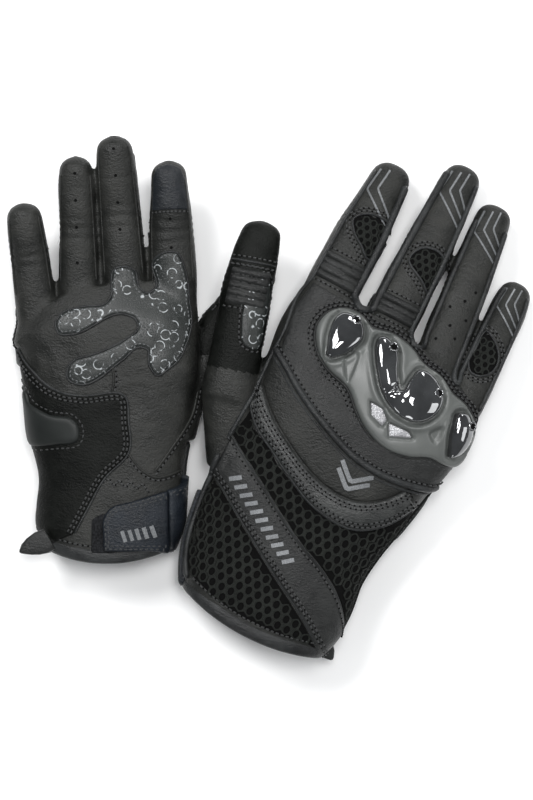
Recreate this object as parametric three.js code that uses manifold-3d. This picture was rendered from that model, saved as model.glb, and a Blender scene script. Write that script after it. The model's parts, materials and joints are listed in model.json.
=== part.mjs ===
// A pair of short-cuff riding gloves lying on a table, one back up and one palm up.
//
// Each glove is made in its own frame and then laid down as a group: x runs across the hand towards the
// little finger, y runs along it towards the fingertips, and z comes out of the back of the hand. The cuff's
// mouth is at the low end of y. Lengths are in millimetres and angles in degrees.
import * as THREE from "three";
import { mergeVertices } from "three/addons/utils/BufferGeometryUtils.js";
import Module from "manifold-3d";

const wasm = await Module();
wasm.setup();

// Sheet thicknesses and clearances.
const SHELL = 2.4; // leather with its foam and backing
const GAP = 0.4; // clearance between separate pieces
const PANEL = 1.4; // an extra layer of leather sewn on top
const LINING = 1;
const LOOP_PILE = 0.8; // the patch that the closure strap grips
const STRAP = 2;
const GUARD = 4; // moulded knuckle guard above the knuckle panel
const CAP = 4.9; // polished knuckle caps, from their pockets up
const CAP_SEAT = 2.4; // how far below the guard's top the caps sit
const FULL_FLEX = 65; // how far each finger joint folds
const FAR = 80; // reach of a cutting tool, beyond any part of a glove

// Fineness of the lofted tubes.
const HAND_SIDES = 18;
const FINGER_SIDES = 12;
const HAND_SQUARENESS = 2.6;
const FINGER_SQUARENESS = 2.3;

// hand: stations of the hand as distance along it, thumb-side edge, little-finger edge, height of the middle
// and half thickness. thumbRoot: the same idea for the thumb's root, as distance, middle, height, half width
// and half thickness. fingers: where each first hinge is, how far the finger leans outwards, how much each
// segment is bent at rest, segment lengths, half width at the root, middle joint and tip, and half depth.
// A thumb is rolled so that its joints fold towards the fingers. swing is how far it can then close.
// fit: the pattern outlines below are drawn for the larger glove, and fit scales and shifts them.
const GLOVES = [
  {
    name: "back_up",
    place: { x: 12.9, y: -59.3, turn: -27, face: 0 },
    sliderFace: -29.4,
    fit: { wide: 1, long: 1, start: 0 },
    hand: [
      [-56, -33, 41, -5, 18.5],
      [-46, -37, 44, -5, 19.8],
      [-30, -41, 44, -5, 20.2],
      [-8, -45, 41, -5, 20],
      [15, -46, 45, -4.5, 20],
      [40, -47, 50, -3, 20],
      [65, -47.5, 55.5, -1, 19.5],
      [85, -49, 56, 0, 18],
      [104, -48.5, 53, 0, 16],
      [124, -48, 52, 0, 14],
    ],
    thumbRoot: [
      [8, -44, -2, 8, 9],
      [36, -53.5, 1, 14.5, 11],
      [59, -61, 3, 12.4, 10.5],
    ],
    fingers: {
      thumb: {
        at: [-61, 58, 3], lean: -16.5, roll: -90, swing: 8,
        bend: [0, 3], long: [33, 34], half: [10.4, 10.2, 7.4], deep: 12,
      },
      index: {
        at: [-34.5, 108, -1], lean: 1, bend: [9, 19], long: [33, 39], half: [13, 12.6, 9.2], deep: 11,
      },
      middle: {
        at: [-2.2, 106, -1], lean: 0, bend: [8, 17], long: [42, 47], half: [12.6, 11.8, 9.2], deep: 11,
      },
      ring: {
        at: [26.2, 100, -1], lean: -4.5, bend: [8, 17], long: [40, 45], half: [11, 10.6, 8.6], deep: 10.5,
      },
      little: {
        at: [46.8, 92, -1], lean: -0.5, bend: [10, 22], long: [30, 34], half: [9.3, 9.3, 7.8], deep: 9.6,
      },
    },
  },
  {
    name: "palm_up",
    place: { x: -76.6, y: -21.5, turn: 0, face: 180 },
    sliderFace: -FAR,
    fit: { wide: 0.87, long: 0.807, start: -9.9 },
    hand: [
      [-55.2, -30, 29, 5, 16.6],
      [-44, -34, 33, 5, 17.4],
      [-30, -35, 33, 5, 17.6],
      [-14, -36, 32, 5, 17.4],
      [4, -38.5, 36, 4, 16.8],
      [24, -42, 38, 2.5, 16],
      [45, -43, 41.5, 1, 15.4],
      [62, -42.5, 44.5, 0, 14.6],
      [77, -42.5, 44.5, 0, 13.6],
      [94, -42, 44, 0, 12],
    ],
    thumbRoot: [
      [4, -35, 5, 8, 9],
      [27, -40, 11, 10.5, 9.5],
      [48, -47, 13.4, 10, 8.8],
    ],
    fingers: {
      thumb: {
        at: [-47, 48, 13.6], lean: -38, roll: -90, swing: 14,
        bend: [0, 0], long: [24, 26], half: [8.4, 8.4, 6.8], deep: 9.8,
      },
      index: { at: [-32, 74, 0], lean: 2, bend: [6, 14], long: [30, 33], half: [11, 10.6, 8], deep: 9.8 },
      middle: {
        at: [-8.6, 77, 0], lean: 4, bend: [6, 14], long: [34, 38], half: [10.4, 9.7, 8.6], deep: 9.6,
      },
      ring: { at: [13.4, 74, 0], lean: 1, bend: [6, 14], long: [31, 34], half: [9.8, 8.8, 7.6], deep: 9.2 },
      little: { at: [34.6, 68, 0], lean: 6.5, bend: [7, 16], long: [24, 25], half: [9.6, 9, 7.6], deep: 9 },
    },
  },
];

// Pattern outlines on the back of the hand, as [across, along] points.
const GUARD_OUTLINE = [
  [-32.7, 88], [-31, 96.4], [-24.6, 101.4], [-16.4, 102], [-9.5, 99.8], [1.1, 100.6], [12.7, 98.4],
  [20, 94.6], [30.2, 92.6], [38, 88.5], [48.3, 84.3], [53.5, 79], [55, 69.4], [53, 60.2], [48, 57.6],
  [40.8, 57.4], [32.7, 53.3], [21.8, 51.9], [10.3, 55.6], [2.5, 61.3], [-6.3, 69.2], [-19.5, 73.5],
  [-26.9, 78.6],
];
const INDEX_CAP_OUTLINE = [
  [-25.7, 96.5], [-18.8, 99.6], [-11.7, 98], [-9.6, 92.5], [-11.6, 85], [-17.3, 77.6], [-21.1, 77.6],
  [-25, 88.5],
];
const CENTRE_CAP_OUTLINE = [
  [-5.4, 95], [2.5, 97.6], [9.1, 95.4], [17.6, 90.8], [26, 90], [32.4, 87], [36.4, 81], [35, 73],
  [28.8, 67.8], [19.5, 68.5], [9.9, 72.6], [1, 82.2], [-4.5, 91.7],
];
const LITTLE_CAP_OUTLINE = [
  [42, 80.5], [47, 82], [51, 77.5], [52, 71.5], [50.6, 65.5], [47.4, 61.4], [43.8, 67.3], [41.6, 75],
];
const VENT_SLOTS = [
  [[8.5, 68], [17.6, 65], [17.1, 60.4], [9.9, 64.2]],
  [[21.1, 63.9], [31.4, 63.6], [31.2, 60.6], [20.4, 59.2]],
];
const VENT_AREA = [[5.6, 68.4], [10, 70.6], [20, 66.4], [33.6, 66], [34, 58.6], [21, 56.6], [13, 58.4]];
const KNUCKLE_PANEL_OUTLINE = [
  [-60, 72.5], [-52, 72.5], [-39.4, 66.7], [-25.6, 57.3], [-7.2, 47.6], [12.3, 40.6], [32.3, 39.2],
  [48, 42.4], [62, 48], [62, 125], [-60, 125],
];
const WRIST_BAND_OUTLINE = [
  [-46, 5], [-20.2, -11.3], [3.7, -25.9], [24.4, -38], [33, -44], [50, -44], [45.3, -34.6], [36.6, -23.6],
  [25, -14.6], [6, -5.4], [-23.2, 10.9], [-46, 24],
];

// Pattern outlines on the palm.
const GRIP_PATCH_OUTLINE = [
  [-3.1, 125], [-17, 125], [-18.4, 104.5], [-27.9, 104.5], [-27, 125], [-44, 125], [-45.4, 97.7],
  [-44, 85.8], [-42, 71.1], [-39.6, 66.4], [-33.7, 57.8], [-27.9, 53.1], [-24.1, 58.4], [-22.9, 69.2],
  [-19.7, 71.1], [-8.9, 62.4], [17.2, 48.1], [20.2, 51.2], [19.2, 61.8], [9.1, 64], [-15.1, 76.6],
  [-18.2, 79.8], [-16.6, 85.9], [-11.6, 89.4], [19.5, 78.2], [26.6, 78.2], [25.4, 88], [-0.1, 96.1],
];
const HEEL_PANEL_OUTLINE = [
  [60, 71], [47.5, 62], [32.3, 46], [17.2, 40.6], [-11, 40.6], [-13.1, 8.9], [1, -8.1], [9.6, -22],
  [14, -30], [60, -30],
];
const SLIDER_OUTLINE = [
  [47.5, 45.5], [44.5, 42], [40.5, 36.4], [30.3, 30.1], [17.2, 27.5], [14.1, 23.7], [14.7, 14.2],
  [25.3, 12], [44, 12.4], [47.5, 14],
];
const LOOP_PATCH_OUTLINE = [[-22, -49], [-22, -22], [3.1, -28.2], [8.2, -31.4], [7.1, -49]];
const STRAP_OUTLINE = [[0, -49.5], [1.4, -30], [-5.1, -24.6], [-33, -15.6], [-33, -49.5]];
const STRAP_ANCHOR_OUTLINE = [[-33.8, -49.5], [-33.8, -15.6], [-60, -10], [-60, -49.5]];
const PULL_TAB_OUTLINE = [
  [28, -45], [34, -35.5], [41, -37.5], [47.5, -46.5], [48, -51.5], [42, -53.5], [34, -51],
];

const radians = THREE.MathUtils.degToRad;

// A three.js geometry as a manifold solid, with only its positions kept and shared corners merged.
function solidOf(geometry) {
  geometry.deleteAttribute("normal");
  geometry.deleteAttribute("uv");
  const merged = mergeVertices(geometry, 1e-4);
  return new wasm.Manifold(
    new wasm.Mesh({
      numProp: 3,
      vertProperties: merged.attributes.position.array,
      triVerts: new Uint32Array(merged.index.array),
    }),
  );
}

// A manifold solid as a three.js geometry.
function geometryOf(solid) {
  const mesh = solid.getMesh();
  const points = new Float32Array(mesh.numVert * 3);
  for (let i = 0; i < mesh.numVert; i++) {
    points.set(mesh.vertProperties.subarray(i * mesh.numProp, i * mesh.numProp + 3), i * 3);
  }
  const geometry = new THREE.BufferGeometry();
  geometry.setAttribute("position", new THREE.BufferAttribute(points, 3));
  geometry.setIndex(new THREE.BufferAttribute(mesh.triVerts, 1));
  geometry.computeVertexNormals();
  return geometry;
}

// A closed tube through superellipse rings that stand square to y. A ring is {x, y, z, wide, deep}, with its
// half width and half depth.
function loft(rings, sides, squareness) {
  const points = [];
  for (const ring of rings) {
    for (let i = 0; i < sides; i++) {
      const angle = ((i + 0.5) / sides) * Math.PI * 2;
      const c = Math.cos(angle);
      const s = Math.sin(angle);
      points.push(
        ring.x + ring.wide * Math.sign(c) * Math.abs(c) ** (2 / squareness),
        ring.y,
        ring.z + ring.deep * Math.sign(s) * Math.abs(s) ** (2 / squareness),
      );
    }
  }
  const first = rings[0];
  const last = rings.at(-1);
  points.push(first.x, first.y, first.z, last.x, last.y, last.z);
  const startPole = rings.length * sides;
  const faces = [];
  for (let i = 0; i < sides; i++) {
    const next = (i + 1) % sides;
    for (let r = 0; r < rings.length - 1; r++) {
      const a = r * sides + i;
      const b = r * sides + next;
      faces.push(a, a + sides, b, b, a + sides, b + sides);
    }
    const end = (rings.length - 1) * sides;
    faces.push(startPole, i, next, startPole + 1, end + next, end + i);
  }
  const geometry = new THREE.BufferGeometry();
  geometry.setAttribute("position", new THREE.Float32BufferAttribute(points, 3));
  geometry.setIndex(faces);
  return solidOf(geometry);
}

// An outline in the plane of the hand, stood up as a prism from z = low to z = high.
function prism(outline, low, high) {
  const shape = new THREE.Shape(outline.map(([x, y]) => new THREE.Vector2(x, y)));
  const geometry = new THREE.ExtrudeGeometry(shape, { depth: high - low, bevelEnabled: false });
  return solidOf(geometry.translate(0, 0, low));
}

// An outline seen from the side, as [along, up] points, extruded across the hand to half a width each way.
function sidePrism(outline, halfWidth) {
  const shape = new THREE.Shape(outline.map(([y, z]) => new THREE.Vector2(y, z)));
  const geometry = new THREE.ExtrudeGeometry(shape, { depth: 2 * halfWidth, bevelEnabled: false });
  geometry.translate(0, 0, -halfWidth);
  const alongUpAcross = new THREE.Matrix4().makeBasis(
    new THREE.Vector3(0, 1, 0),
    new THREE.Vector3(0, 0, 1),
    new THREE.Vector3(1, 0, 0),
  );
  return solidOf(geometry.applyMatrix4(alongUpAcross));
}

const moved = (solid, matrix) => solid.transform(matrix.elements);

// An outline moved outwards from its own middle.
function grown(outline, by) {
  const middle = outline.reduce(([a, b], [x, y]) => [a + x / outline.length, b + y / outline.length], [0, 0]);
  return outline.map(([x, y]) => {
    const away = new THREE.Vector2(x - middle[0], y - middle[1]);
    away.setLength(away.length() + by);
    return [middle[0] + away.x, middle[1] + away.y];
  });
}

const fitted = (outline, fit) => outline.map(([x, y]) => [x * fit.wide, y * fit.long + fit.start]);

// The hand as a solid tube, made larger all round by grow. Both ends run on by past.
function handTube(spec, grow, past = 0) {
  const rings = spec.hand.map(([y, left, right, z, deep]) => ({
    x: (left + right) / 2,
    y,
    z,
    wide: (right - left) / 2 + grow,
    deep: deep + grow,
  }));
  rings[0].y -= past;
  rings.at(-1).y += past;
  return loft(rings, HAND_SIDES, HAND_SQUARENESS);
}

function thumbRootTube(spec, grow, past = 0) {
  const rings = spec.thumbRoot.map(([y, x, z, wide, deep]) => (
    { x, y, z, wide: wide + grow, deep: deep + grow }
  ));
  const [before, last] = rings.slice(-2);
  const overrun = 16 / (last.y - before.y);
  rings.push({
    ...last,
    x: last.x + (last.x - before.x) * overrun,
    y: last.y + 16,
    z: last.z + (last.z - before.z) * overrun,
  });
  rings[0].y -= past;
  return loft(rings, FINGER_SIDES, FINGER_SQUARENESS);
}

// Where a finger starts, as a matrix: y runs along its first segment, x is its hinge.
function fingerFrame(finger, swung = 0) {
  const { bend, roll = 0, lean, at } = finger;
  const turn = new THREE.Euler(-radians(bend[0]), radians(roll), -radians(lean + swung), "ZYX");
  return new THREE.Matrix4().makeRotationFromEuler(turn).setPosition(...at);
}

// How far a wedge that opens on the palm side reaches back at a given depth, so that a joint can fold.
const foldRoom = (depth) => depth * Math.tan(radians(FULL_FLEX / 2 + 1));

// Everything in front of a finger's first hinge, within the finger's own track, with room to fold.
function fingerTrack(finger, extra = 0) {
  const start = -GAP / 2 - extra;
  const depth = 30;
  const side = [[start, depth], [FAR, depth], [FAR, -depth], [start - foldRoom(depth), -depth], [start, 0]];
  return moved(sidePrism(side.reverse(), finger.half[0] + 4), fingerFrame(finger));
}

// The part of a finger segment that is kept between two hinges. The tip segment has no second hinge.
function segmentRoom(length, isTip) {
  const depth = 16;
  const far = isTip ? FAR : length - GAP / 2;
  const farFold = isTip ? 0 : foldRoom(depth);
  return sidePrism(
    [
      [GAP / 2, 0],
      [GAP / 2 + foldRoom(depth), -depth],
      [far - farFold, -depth],
      [far, 0],
      [far, depth],
      [GAP / 2, depth],
    ],
    FAR / 2,
  );
}

function baseTube(finger, grow) {
  const [length] = finger.long;
  const [root, middle] = finger.half;
  const rings = [[-14, root], [0, root], [length / 2, (root + middle) / 2], [length + 14, middle]];
  return loft(
    rings.map(([y, half]) => ({ x: 0, y, z: 0, wide: half + grow, deep: finger.deep + grow })),
    FINGER_SIDES,
    FINGER_SQUARENESS,
  );
}

function tipTube(finger, grow) {
  const length = finger.long[1] + grow;
  const [, middle, tip] = finger.half;
  const tipDeep = finger.deep * 0.8;
  const rings = [
    { y: -14, wide: middle, deep: finger.deep },
    { y: 0, wide: middle, deep: finger.deep },
    { y: length * 0.45, wide: (middle + tip) / 2 + 0.6, deep: (finger.deep + tipDeep) / 2 + 0.4 },
    { y: length * 0.78, wide: tip, deep: tipDeep },
    { y: length * 0.93, wide: tip * 0.78, deep: tipDeep * 0.72 },
    { y: length, wide: tip * 0.42, deep: tipDeep * 0.3 },
  ];
  return loft(
    rings.map((ring) => (
      { x: 0, y: ring.y, z: 0, wide: ring.wide + grow, deep: Math.max(ring.deep + grow, 0.8) }
    )),
    FINGER_SIDES,
    FINGER_SQUARENESS,
  );
}

const baseSegment = (finger) =>
  baseTube(finger, 0).subtract(baseTube(finger, -SHELL)).intersect(segmentRoom(finger.long[0], false));

const tipSegment = (finger) =>
  tipTube(finger, 0).subtract(tipTube(finger, -SHELL)).intersect(segmentRoom(finger.long[1], true));

// A ribbed stretch panel over the back of a finger's root.
function flexPanel(finger) {
  const across = finger.half[0] - 3.2;
  const patch = prism([[-across, 2], [across, 2], [across, 17], [-across, 17]], 2, FAR / 2);
  return baseTube(finger, GAP + PANEL).subtract(baseTube(finger, GAP)).intersect(patch);
}

const joined = (solids) => solids.reduce((a, b) => a.add(b));

// Tools for one glove: what is shared by the pieces of its hand.
function handTools(spec) {
  const { thumb, ...fingers } = spec.fingers;
  const swings = [0, thumb.swing / 2, thumb.swing].map((by) =>
    moved(baseTube(thumb, 2 * GAP), fingerFrame(thumb, by)),
  );
  const thumbAhead = fingerTrack(thumb);
  const fingersAhead = joined(Object.values(fingers).map((finger) => fingerTrack(finger)));
  const tracks = fingersAhead.add(joined(swings).intersect(thumbAhead));
  const middles = spec.hand.map(([y, , , z]) => [y, z]);
  const [mouth] = middles[0];
  middles[0] = [mouth - FAR, middles[0][1]];
  middles.push([middles.at(-1)[0] + FAR, middles.at(-1)[1]]);
  const [start, end] = [middles[0][0], middles.at(-1)[0]];
  const half = (side) => {
    const seam = middles.map(([y, z]) => [y, z + (side * GAP) / 2]);
    const edge = [[end, side * FAR], [start, side * FAR]];
    const outline = [...seam, ...edge];
    return sidePrism(side > 0 ? outline : outline.reverse(), FAR * 1.5);
  };
  const root = thumbRootTube(spec, 0).subtract(thumbAhead);
  const rootRoom = thumbRootTube(spec, GAP).subtract(fingerTrack(thumb, -2 * GAP));
  return { tracks, back: half(1), palm: half(-1), root, rootRoom, mouth };
}

// A layer that lies on the hand: between lift and lift + thickness above the leather, inside an outline.
function layer(spec, tools, outline, side, lift, thickness) {
  const area = fitted(outline, spec.fit);
  const column = side > 0 ? prism(area, -10, FAR) : prism(area, -FAR, 10);
  return handTube(spec, lift + thickness)
    .subtract(handTube(spec, lift, 10))
    .intersect(column)
    .intersect(side > 0 ? tools.back : tools.palm)
    .subtract(tools.tracks)
    .subtract(tools.rootRoom);
}

// Only the largest body of a solid, without the slivers that a cut can leave.
const largest = (solid) =>
  solid.decompose().reduce((a, b) => (b.volume() > a.volume() ? b : a));

const matte = (color, roughness) => new THREE.MeshStandardMaterial({ color, roughness, metalness: 0 });
const MATERIALS = {
  leather: matte(0x26272a, 0.62),
  panelLeather: matte(0x2b2c2e, 0.55),
  mouldedPlastic: matte(0x4a4c50, 0.5),
  polished: new THREE.MeshStandardMaterial({ color: 0x2a2a2c, roughness: 0.08, metalness: 0.9 }),
  silverMesh: new THREE.MeshStandardMaterial({ color: 0xd8d8d8, roughness: 0.45, metalness: 0.4 }),
  grip: matte(0x303233, 0.4),
  hookAndLoop: matte(0x151516, 0.95),
  lining: matte(0x1b1b1d, 0.9),
};

function addPiece(group, name, solid, material) {
  const mesh = new THREE.Mesh(geometryOf(largest(solid)), MATERIALS[material]);
  mesh.name = name;
  group.add(mesh);
}

function addHand(group, spec) {
  const tools = handTools(spec);
  const name = (piece) => `${spec.name}_${piece}`;
  const on = (outline, side, lift, thickness) => layer(spec, tools, outline, side, lift, thickness);
  const hollow = handTube(spec, -SHELL, 10).add(thumbRootTube(spec, -SHELL));
  const shell = handTube(spec, 0).subtract(tools.tracks);

  const back = shell.intersect(tools.back).subtract(hollow).subtract(tools.rootRoom);
  addPiece(group, name("back_of_hand"), back, "leather");
  const palm = shell.intersect(tools.palm).subtract(tools.rootRoom)
    .add(tools.root.subtract(handTube(spec, GAP)));
  const palmWithRoot = palm.add(tools.root.intersect(tools.palm)).subtract(hollow);
  addPiece(group, name("palm_of_hand"), palmWithRoot, "leather");

  const liningOuter = handTube(spec, -SHELL - GAP, -4);
  const liningInner = handTube(spec, -SHELL - GAP - LINING, 10);
  const { thumb, ...fingers } = spec.fingers;
  const setBack = joined(Object.values(fingers).map((finger) => fingerTrack(finger, 2)));
  const thumbWay = thumbRootTube(spec, -SHELL + GAP, 10);
  const lining = liningOuter.subtract(liningInner).subtract(setBack).subtract(thumbWay);
  addPiece(group, name("hand_lining"), lining, "lining");

  const panelTop = GAP + PANEL;
  const guardLift = panelTop + GAP;
  const guardTop = guardLift + GUARD;
  addPiece(group, name("knuckle_panel"), on(KNUCKLE_PANEL_OUTLINE, 1, GAP, PANEL), "panelLeather");
  const caps = {
    index_knuckle_cap: INDEX_CAP_OUTLINE,
    centre_knuckle_cap: CENTRE_CAP_OUTLINE,
    little_knuckle_cap: LITTLE_CAP_OUTLINE,
  };
  let guard = on(GUARD_OUTLINE, 1, guardLift, GUARD);
  for (const [piece, outline] of Object.entries(caps)) {
    guard = guard.subtract(on(grown(outline, GAP), 1, guardTop - CAP_SEAT, CAP_SEAT + 4));
    addPiece(group, name(piece), on(outline, 1, guardTop - CAP_SEAT + GAP, CAP), "polished");
  }
  for (const slot of VENT_SLOTS) guard = guard.subtract(on(slot, 1, guardLift - 1, GUARD + 4));
  guard = guard.subtract(on(grown(VENT_AREA, GAP), 1, guardLift - 1, 2));
  addPiece(group, name("knuckle_guard"), guard, "mouldedPlastic");
  addPiece(group, name("vent_screen"), on(VENT_AREA, 1, guardLift, 0.6), "silverMesh");

  addPiece(group, name("wrist_band"), on(WRIST_BAND_OUTLINE, 1, GAP, PANEL), "panelLeather");
  const hem = [[tools.mouth, -FAR], [tools.mouth + 5, -FAR], [tools.mouth + 5, FAR], [tools.mouth, FAR]];
  const binding = handTube(spec, 1.9).subtract(handTube(spec, GAP, 10)).intersect(sidePrism(hem, FAR * 1.5));
  addPiece(group, name("cuff_binding"), binding, "leather");

  addPiece(group, name("heel_panel"), on(HEEL_PANEL_OUTLINE, -1, GAP, PANEL), "panelLeather");
  const slider = on(SLIDER_OUTLINE, -1, panelTop + GAP, 4);
  const aboveFace = [[-FAR, spec.sliderFace], [FAR * 2, spec.sliderFace], [FAR * 2, FAR], [-FAR, FAR]];
  addPiece(group, name("palm_slider"), slider.intersect(sidePrism(aboveFace, FAR)), "mouldedPlastic");
  addPiece(group, name("grip_patch"), on(GRIP_PATCH_OUTLINE, -1, GAP, 0.9), "grip");
  addPiece(group, name("loop_patch"), on(LOOP_PATCH_OUTLINE, -1, GAP, LOOP_PILE), "hookAndLoop");
  addPiece(group, name("strap_anchor"), on(STRAP_ANCHOR_OUTLINE, -1, GAP, STRAP), "panelLeather");
  const tab = prism(fitted(PULL_TAB_OUTLINE, spec.fit), -11, -9.4)
    .subtract(handTube(spec, panelTop + GAP, 10));
  addPiece(group, name("pull_tab"), tab, "panelLeather");

  addStrap(group, spec, tools);
}

// The closure strap lies on the palm side of the cuff and peels off about the outer edge of its
// thumb-side end.
function addStrap(group, spec, tools) {
  const strap = layer(spec, tools, STRAP_OUTLINE, -1, 2 * GAP + LOOP_PILE, STRAP);
  const x = strap.boundingBox().min[0];
  const end = prism([[x, -FAR], [x + 1, -FAR], [x + 1, 0], [x, 0]], -FAR, 0).intersect(strap);
  const z = end.boundingBox().min[2];
  const hinge = new THREE.Group();
  hinge.name = `${spec.name}_strap_hinge`;
  hinge.position.set(x, 0, z);
  group.add(hinge);
  addPiece(hinge, `${spec.name}_closure_strap`, strap.translate(-x, 0, -z), "panelLeather");
}

function addFinger(group, spec, key) {
  const finger = spec.fingers[key];
  const root = new THREE.Group();
  root.name = `${spec.name}_${key}_knuckle`;
  root.applyMatrix4(fingerFrame(finger));
  group.add(root);
  addPiece(root, `${spec.name}_${key}_base`, baseSegment(finger), "leather");
  if (key === "index" || key === "middle") {
    addPiece(root, `${spec.name}_${key}_flex_panel`, flexPanel(finger), "panelLeather");
  }
  const tip = new THREE.Group();
  tip.name = `${spec.name}_${key}_middle_joint`;
  tip.position.y = finger.long[0];
  tip.rotation.x = -radians(finger.bend[1] - finger.bend[0]);
  root.add(tip);
  addPiece(tip, `${spec.name}_${key}_tip`, tipSegment(finger), "leather");
}

// Two gloves, each laid on the table by its place: turned about the vertical, and rolled over if palm up.
const gloves = new THREE.Group();
for (const spec of GLOVES) {
  const glove = new THREE.Group();
  const { x, y, turn, face } = spec.place;
  glove.name = spec.name;
  glove.position.set(x, y, 0);
  glove.rotation.set(0, radians(face), radians(turn), "ZYX");
  addHand(glove, spec);
  for (const key of Object.keys(spec.fingers)) addFinger(glove, spec, key);
  glove.position.z = -new THREE.Box3().setFromObject(glove, true).min.z;
  gloves.add(glove);
}

// The origin is on the table under the middle of the pair.
const middle = new THREE.Box3().setFromObject(gloves, true).getCenter(new THREE.Vector3());
gloves.position.set(-middle.x, -middle.y, 0);

export default gloves;
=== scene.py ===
"""A pair of short-cuff leather riding gloves: one lies back up, the other palm up with its thumb underneath.

Each glove is made in its own frame, in millimetres: x runs across the hand towards the little finger, y along
it towards the fingertips, and z out of the back of the hand. glove.world takes that frame to the shared one.
"""

import json
import math

import bpy
import numpy as np
from mathutils import Matrix, Vector, noise
from mathutils.bvhtree import BVHTree
from mathutils.geometry import delaunay_2d_cdt


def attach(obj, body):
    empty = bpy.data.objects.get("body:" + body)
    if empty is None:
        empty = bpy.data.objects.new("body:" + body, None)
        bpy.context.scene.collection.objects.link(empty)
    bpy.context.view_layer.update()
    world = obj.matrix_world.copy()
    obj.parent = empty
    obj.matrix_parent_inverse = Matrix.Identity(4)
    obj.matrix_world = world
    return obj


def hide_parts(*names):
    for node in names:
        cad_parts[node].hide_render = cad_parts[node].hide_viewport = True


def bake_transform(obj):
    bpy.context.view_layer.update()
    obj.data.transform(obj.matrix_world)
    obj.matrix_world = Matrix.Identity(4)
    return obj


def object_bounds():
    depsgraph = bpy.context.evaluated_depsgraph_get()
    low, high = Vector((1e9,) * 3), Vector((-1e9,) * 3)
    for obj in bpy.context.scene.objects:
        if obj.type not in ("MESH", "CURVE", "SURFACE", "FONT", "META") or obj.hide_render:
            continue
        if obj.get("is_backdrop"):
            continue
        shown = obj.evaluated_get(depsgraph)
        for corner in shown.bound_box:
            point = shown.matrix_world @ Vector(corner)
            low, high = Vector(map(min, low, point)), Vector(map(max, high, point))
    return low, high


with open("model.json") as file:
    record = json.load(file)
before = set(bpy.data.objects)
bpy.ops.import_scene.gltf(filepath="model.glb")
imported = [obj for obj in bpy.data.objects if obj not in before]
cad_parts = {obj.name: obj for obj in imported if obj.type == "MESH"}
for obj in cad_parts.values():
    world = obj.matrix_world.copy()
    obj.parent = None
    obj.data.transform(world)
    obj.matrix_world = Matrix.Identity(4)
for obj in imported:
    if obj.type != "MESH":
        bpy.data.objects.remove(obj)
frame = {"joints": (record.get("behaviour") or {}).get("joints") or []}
cad_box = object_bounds()
joints = {joint["name"]: joint for joint in frame["joints"]}

MM = 0.001
VOXEL = 1.15  # fineness of the leather's surface
LEATHER = 1.9  # thickness of the leather with its lining
WIDE_PITCH, FINGER_PITCH = 4.9, 3.8  # from one mesh cell to the next, on the cuff and on the fingers
MESH_LIFT = 0.55  # how far the mesh cells stand above the leather under them
GUARD_TALL = 3.6  # knuckle guard, above the leather under it
TABLE_PRESS = 0.0006  # the height, in metres, under which pieces are pressed against the table
FINGERS = ("thumb", "index", "middle", "ring", "little")
BACK, PALM = 1, -1

# What a glove's shape is made from. hand: stations as distance along, thumb-side edge, little-finger edge,
# height of the middle, half thickness. thumb_root: distance, middle, height, half width, half thickness.
# front: how far the hand reaches between the fingers, where that is most, and how fast it falls away.
# fit: how the pattern, drawn for the larger glove, is scaled and shifted along.
BACK_UP = {
    "turn": -27, "roll": 0, "fit": (1, 1, 0), "front": (107.5, -25, 0.0026), "known": (
        "middle", (-2.2, 106, -1)
    ),
    "hand": [
        (-57, -33, 41, -5, 18.5), (
            -46, -37.5, 44, -5, 19.8
        ), (-30, -41.5, 44, -5, 20.2), (-8, -45, 42, -5, 20),
        (15, -46, 46, -4.5, 20), (40, -47, 51, -3, 20), (65, -48, 56, -1, 19.2), (85, -49.5, 57, 0, 17.5),
        (98, -48.8, 55, -0.5, 14.5), (108, -46.5, 53, -1, 11.2),
    ],
    "thumb_root": [
        (6, -43, -2, 7, 9), (20, -47, -0.5, 11, 10), (36, -53, 1, 14.4, 11), (58, -61, 3, 12.6, 10.5)
    ],
    "fingers": {
        "thumb": ((-61, 58, 3), -16.5, -90, (0, 3), (33, 34), (10.6, 10.2, 7.6), 12.2),
        "index": ((-34.5, 108, -1), 1, 0, (9, 19), (33, 39), (13.2, 12.6, 9.8), 11),
        "middle": ((-2.2, 106, -1), 0, 0, (8, 17), (42, 47), (12.8, 11.8, 9.6), 11),
        "ring": ((26.2, 100, -1), -4.5, 0, (8, 17), (40, 45), (11.2, 10.6, 9), 10.5),
        "little": ((46.8, 92, -1), -0.5, 0, (10, 22), (30, 34), (9.6, 9.3, 8.3), 9.6),
    },
}
PALM_UP = {
    "turn": 0, "roll": 180, "fit": (0.87, 0.807, -9.9), "front": (78.6, -10, 0.0072), "known": (
        "middle", (-8.6, 77, 0)
    ),
    "hand": [
        (-56, -30, 29, 5, 16.6), (
            -44, -34, 33.5, 5, 17.4
        ), (-30, -35, 33, 5, 17.6), (-14, -36, 32, 5, 17.4),
        (
            4, -38.5, 36.5, 4, 16.8
        ), (24, -42, 38.5, 2.5, 16), (45, -43.5, 42, 1, 15.4), (60, -43, 45, 0, 14.4),
        (70, -42.5, 44.8, 0, 12.4), (79, -41.5, 43.5, 0, 9.8),
    ],
    "thumb_root": [
        (2, -34, 5, 8, 9), (14, -36, 8, 9, 9.5), (27, -40, 11, 10.5, 9.5), (48, -47, 13.4, 9.8, 8.8)
    ],
    "fingers": {
        "thumb": ((-47, 48, 13.6), -38, -90, (0, 0), (24, 26), (8.6, 8.4, 7), 9.9),
        "index": ((-32, 74, 0), 2, 0, (6, 14), (30, 33), (11.2, 10.6, 8.4), 9.8),
        "middle": ((-8.6, 77, 0), 4, 0, (6, 14), (34, 38), (10.6, 9.8, 8.9), 9.6),
        "ring": ((13.4, 74, 0), 1, 0, (6, 14), (31, 34), (10, 8.9, 8), 9.2),
        "little": ((34.6, 68, 0), 6.5, 0, (7, 16), (24, 25), (9.8, 9.2, 8.1), 9),
    },
}

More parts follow.
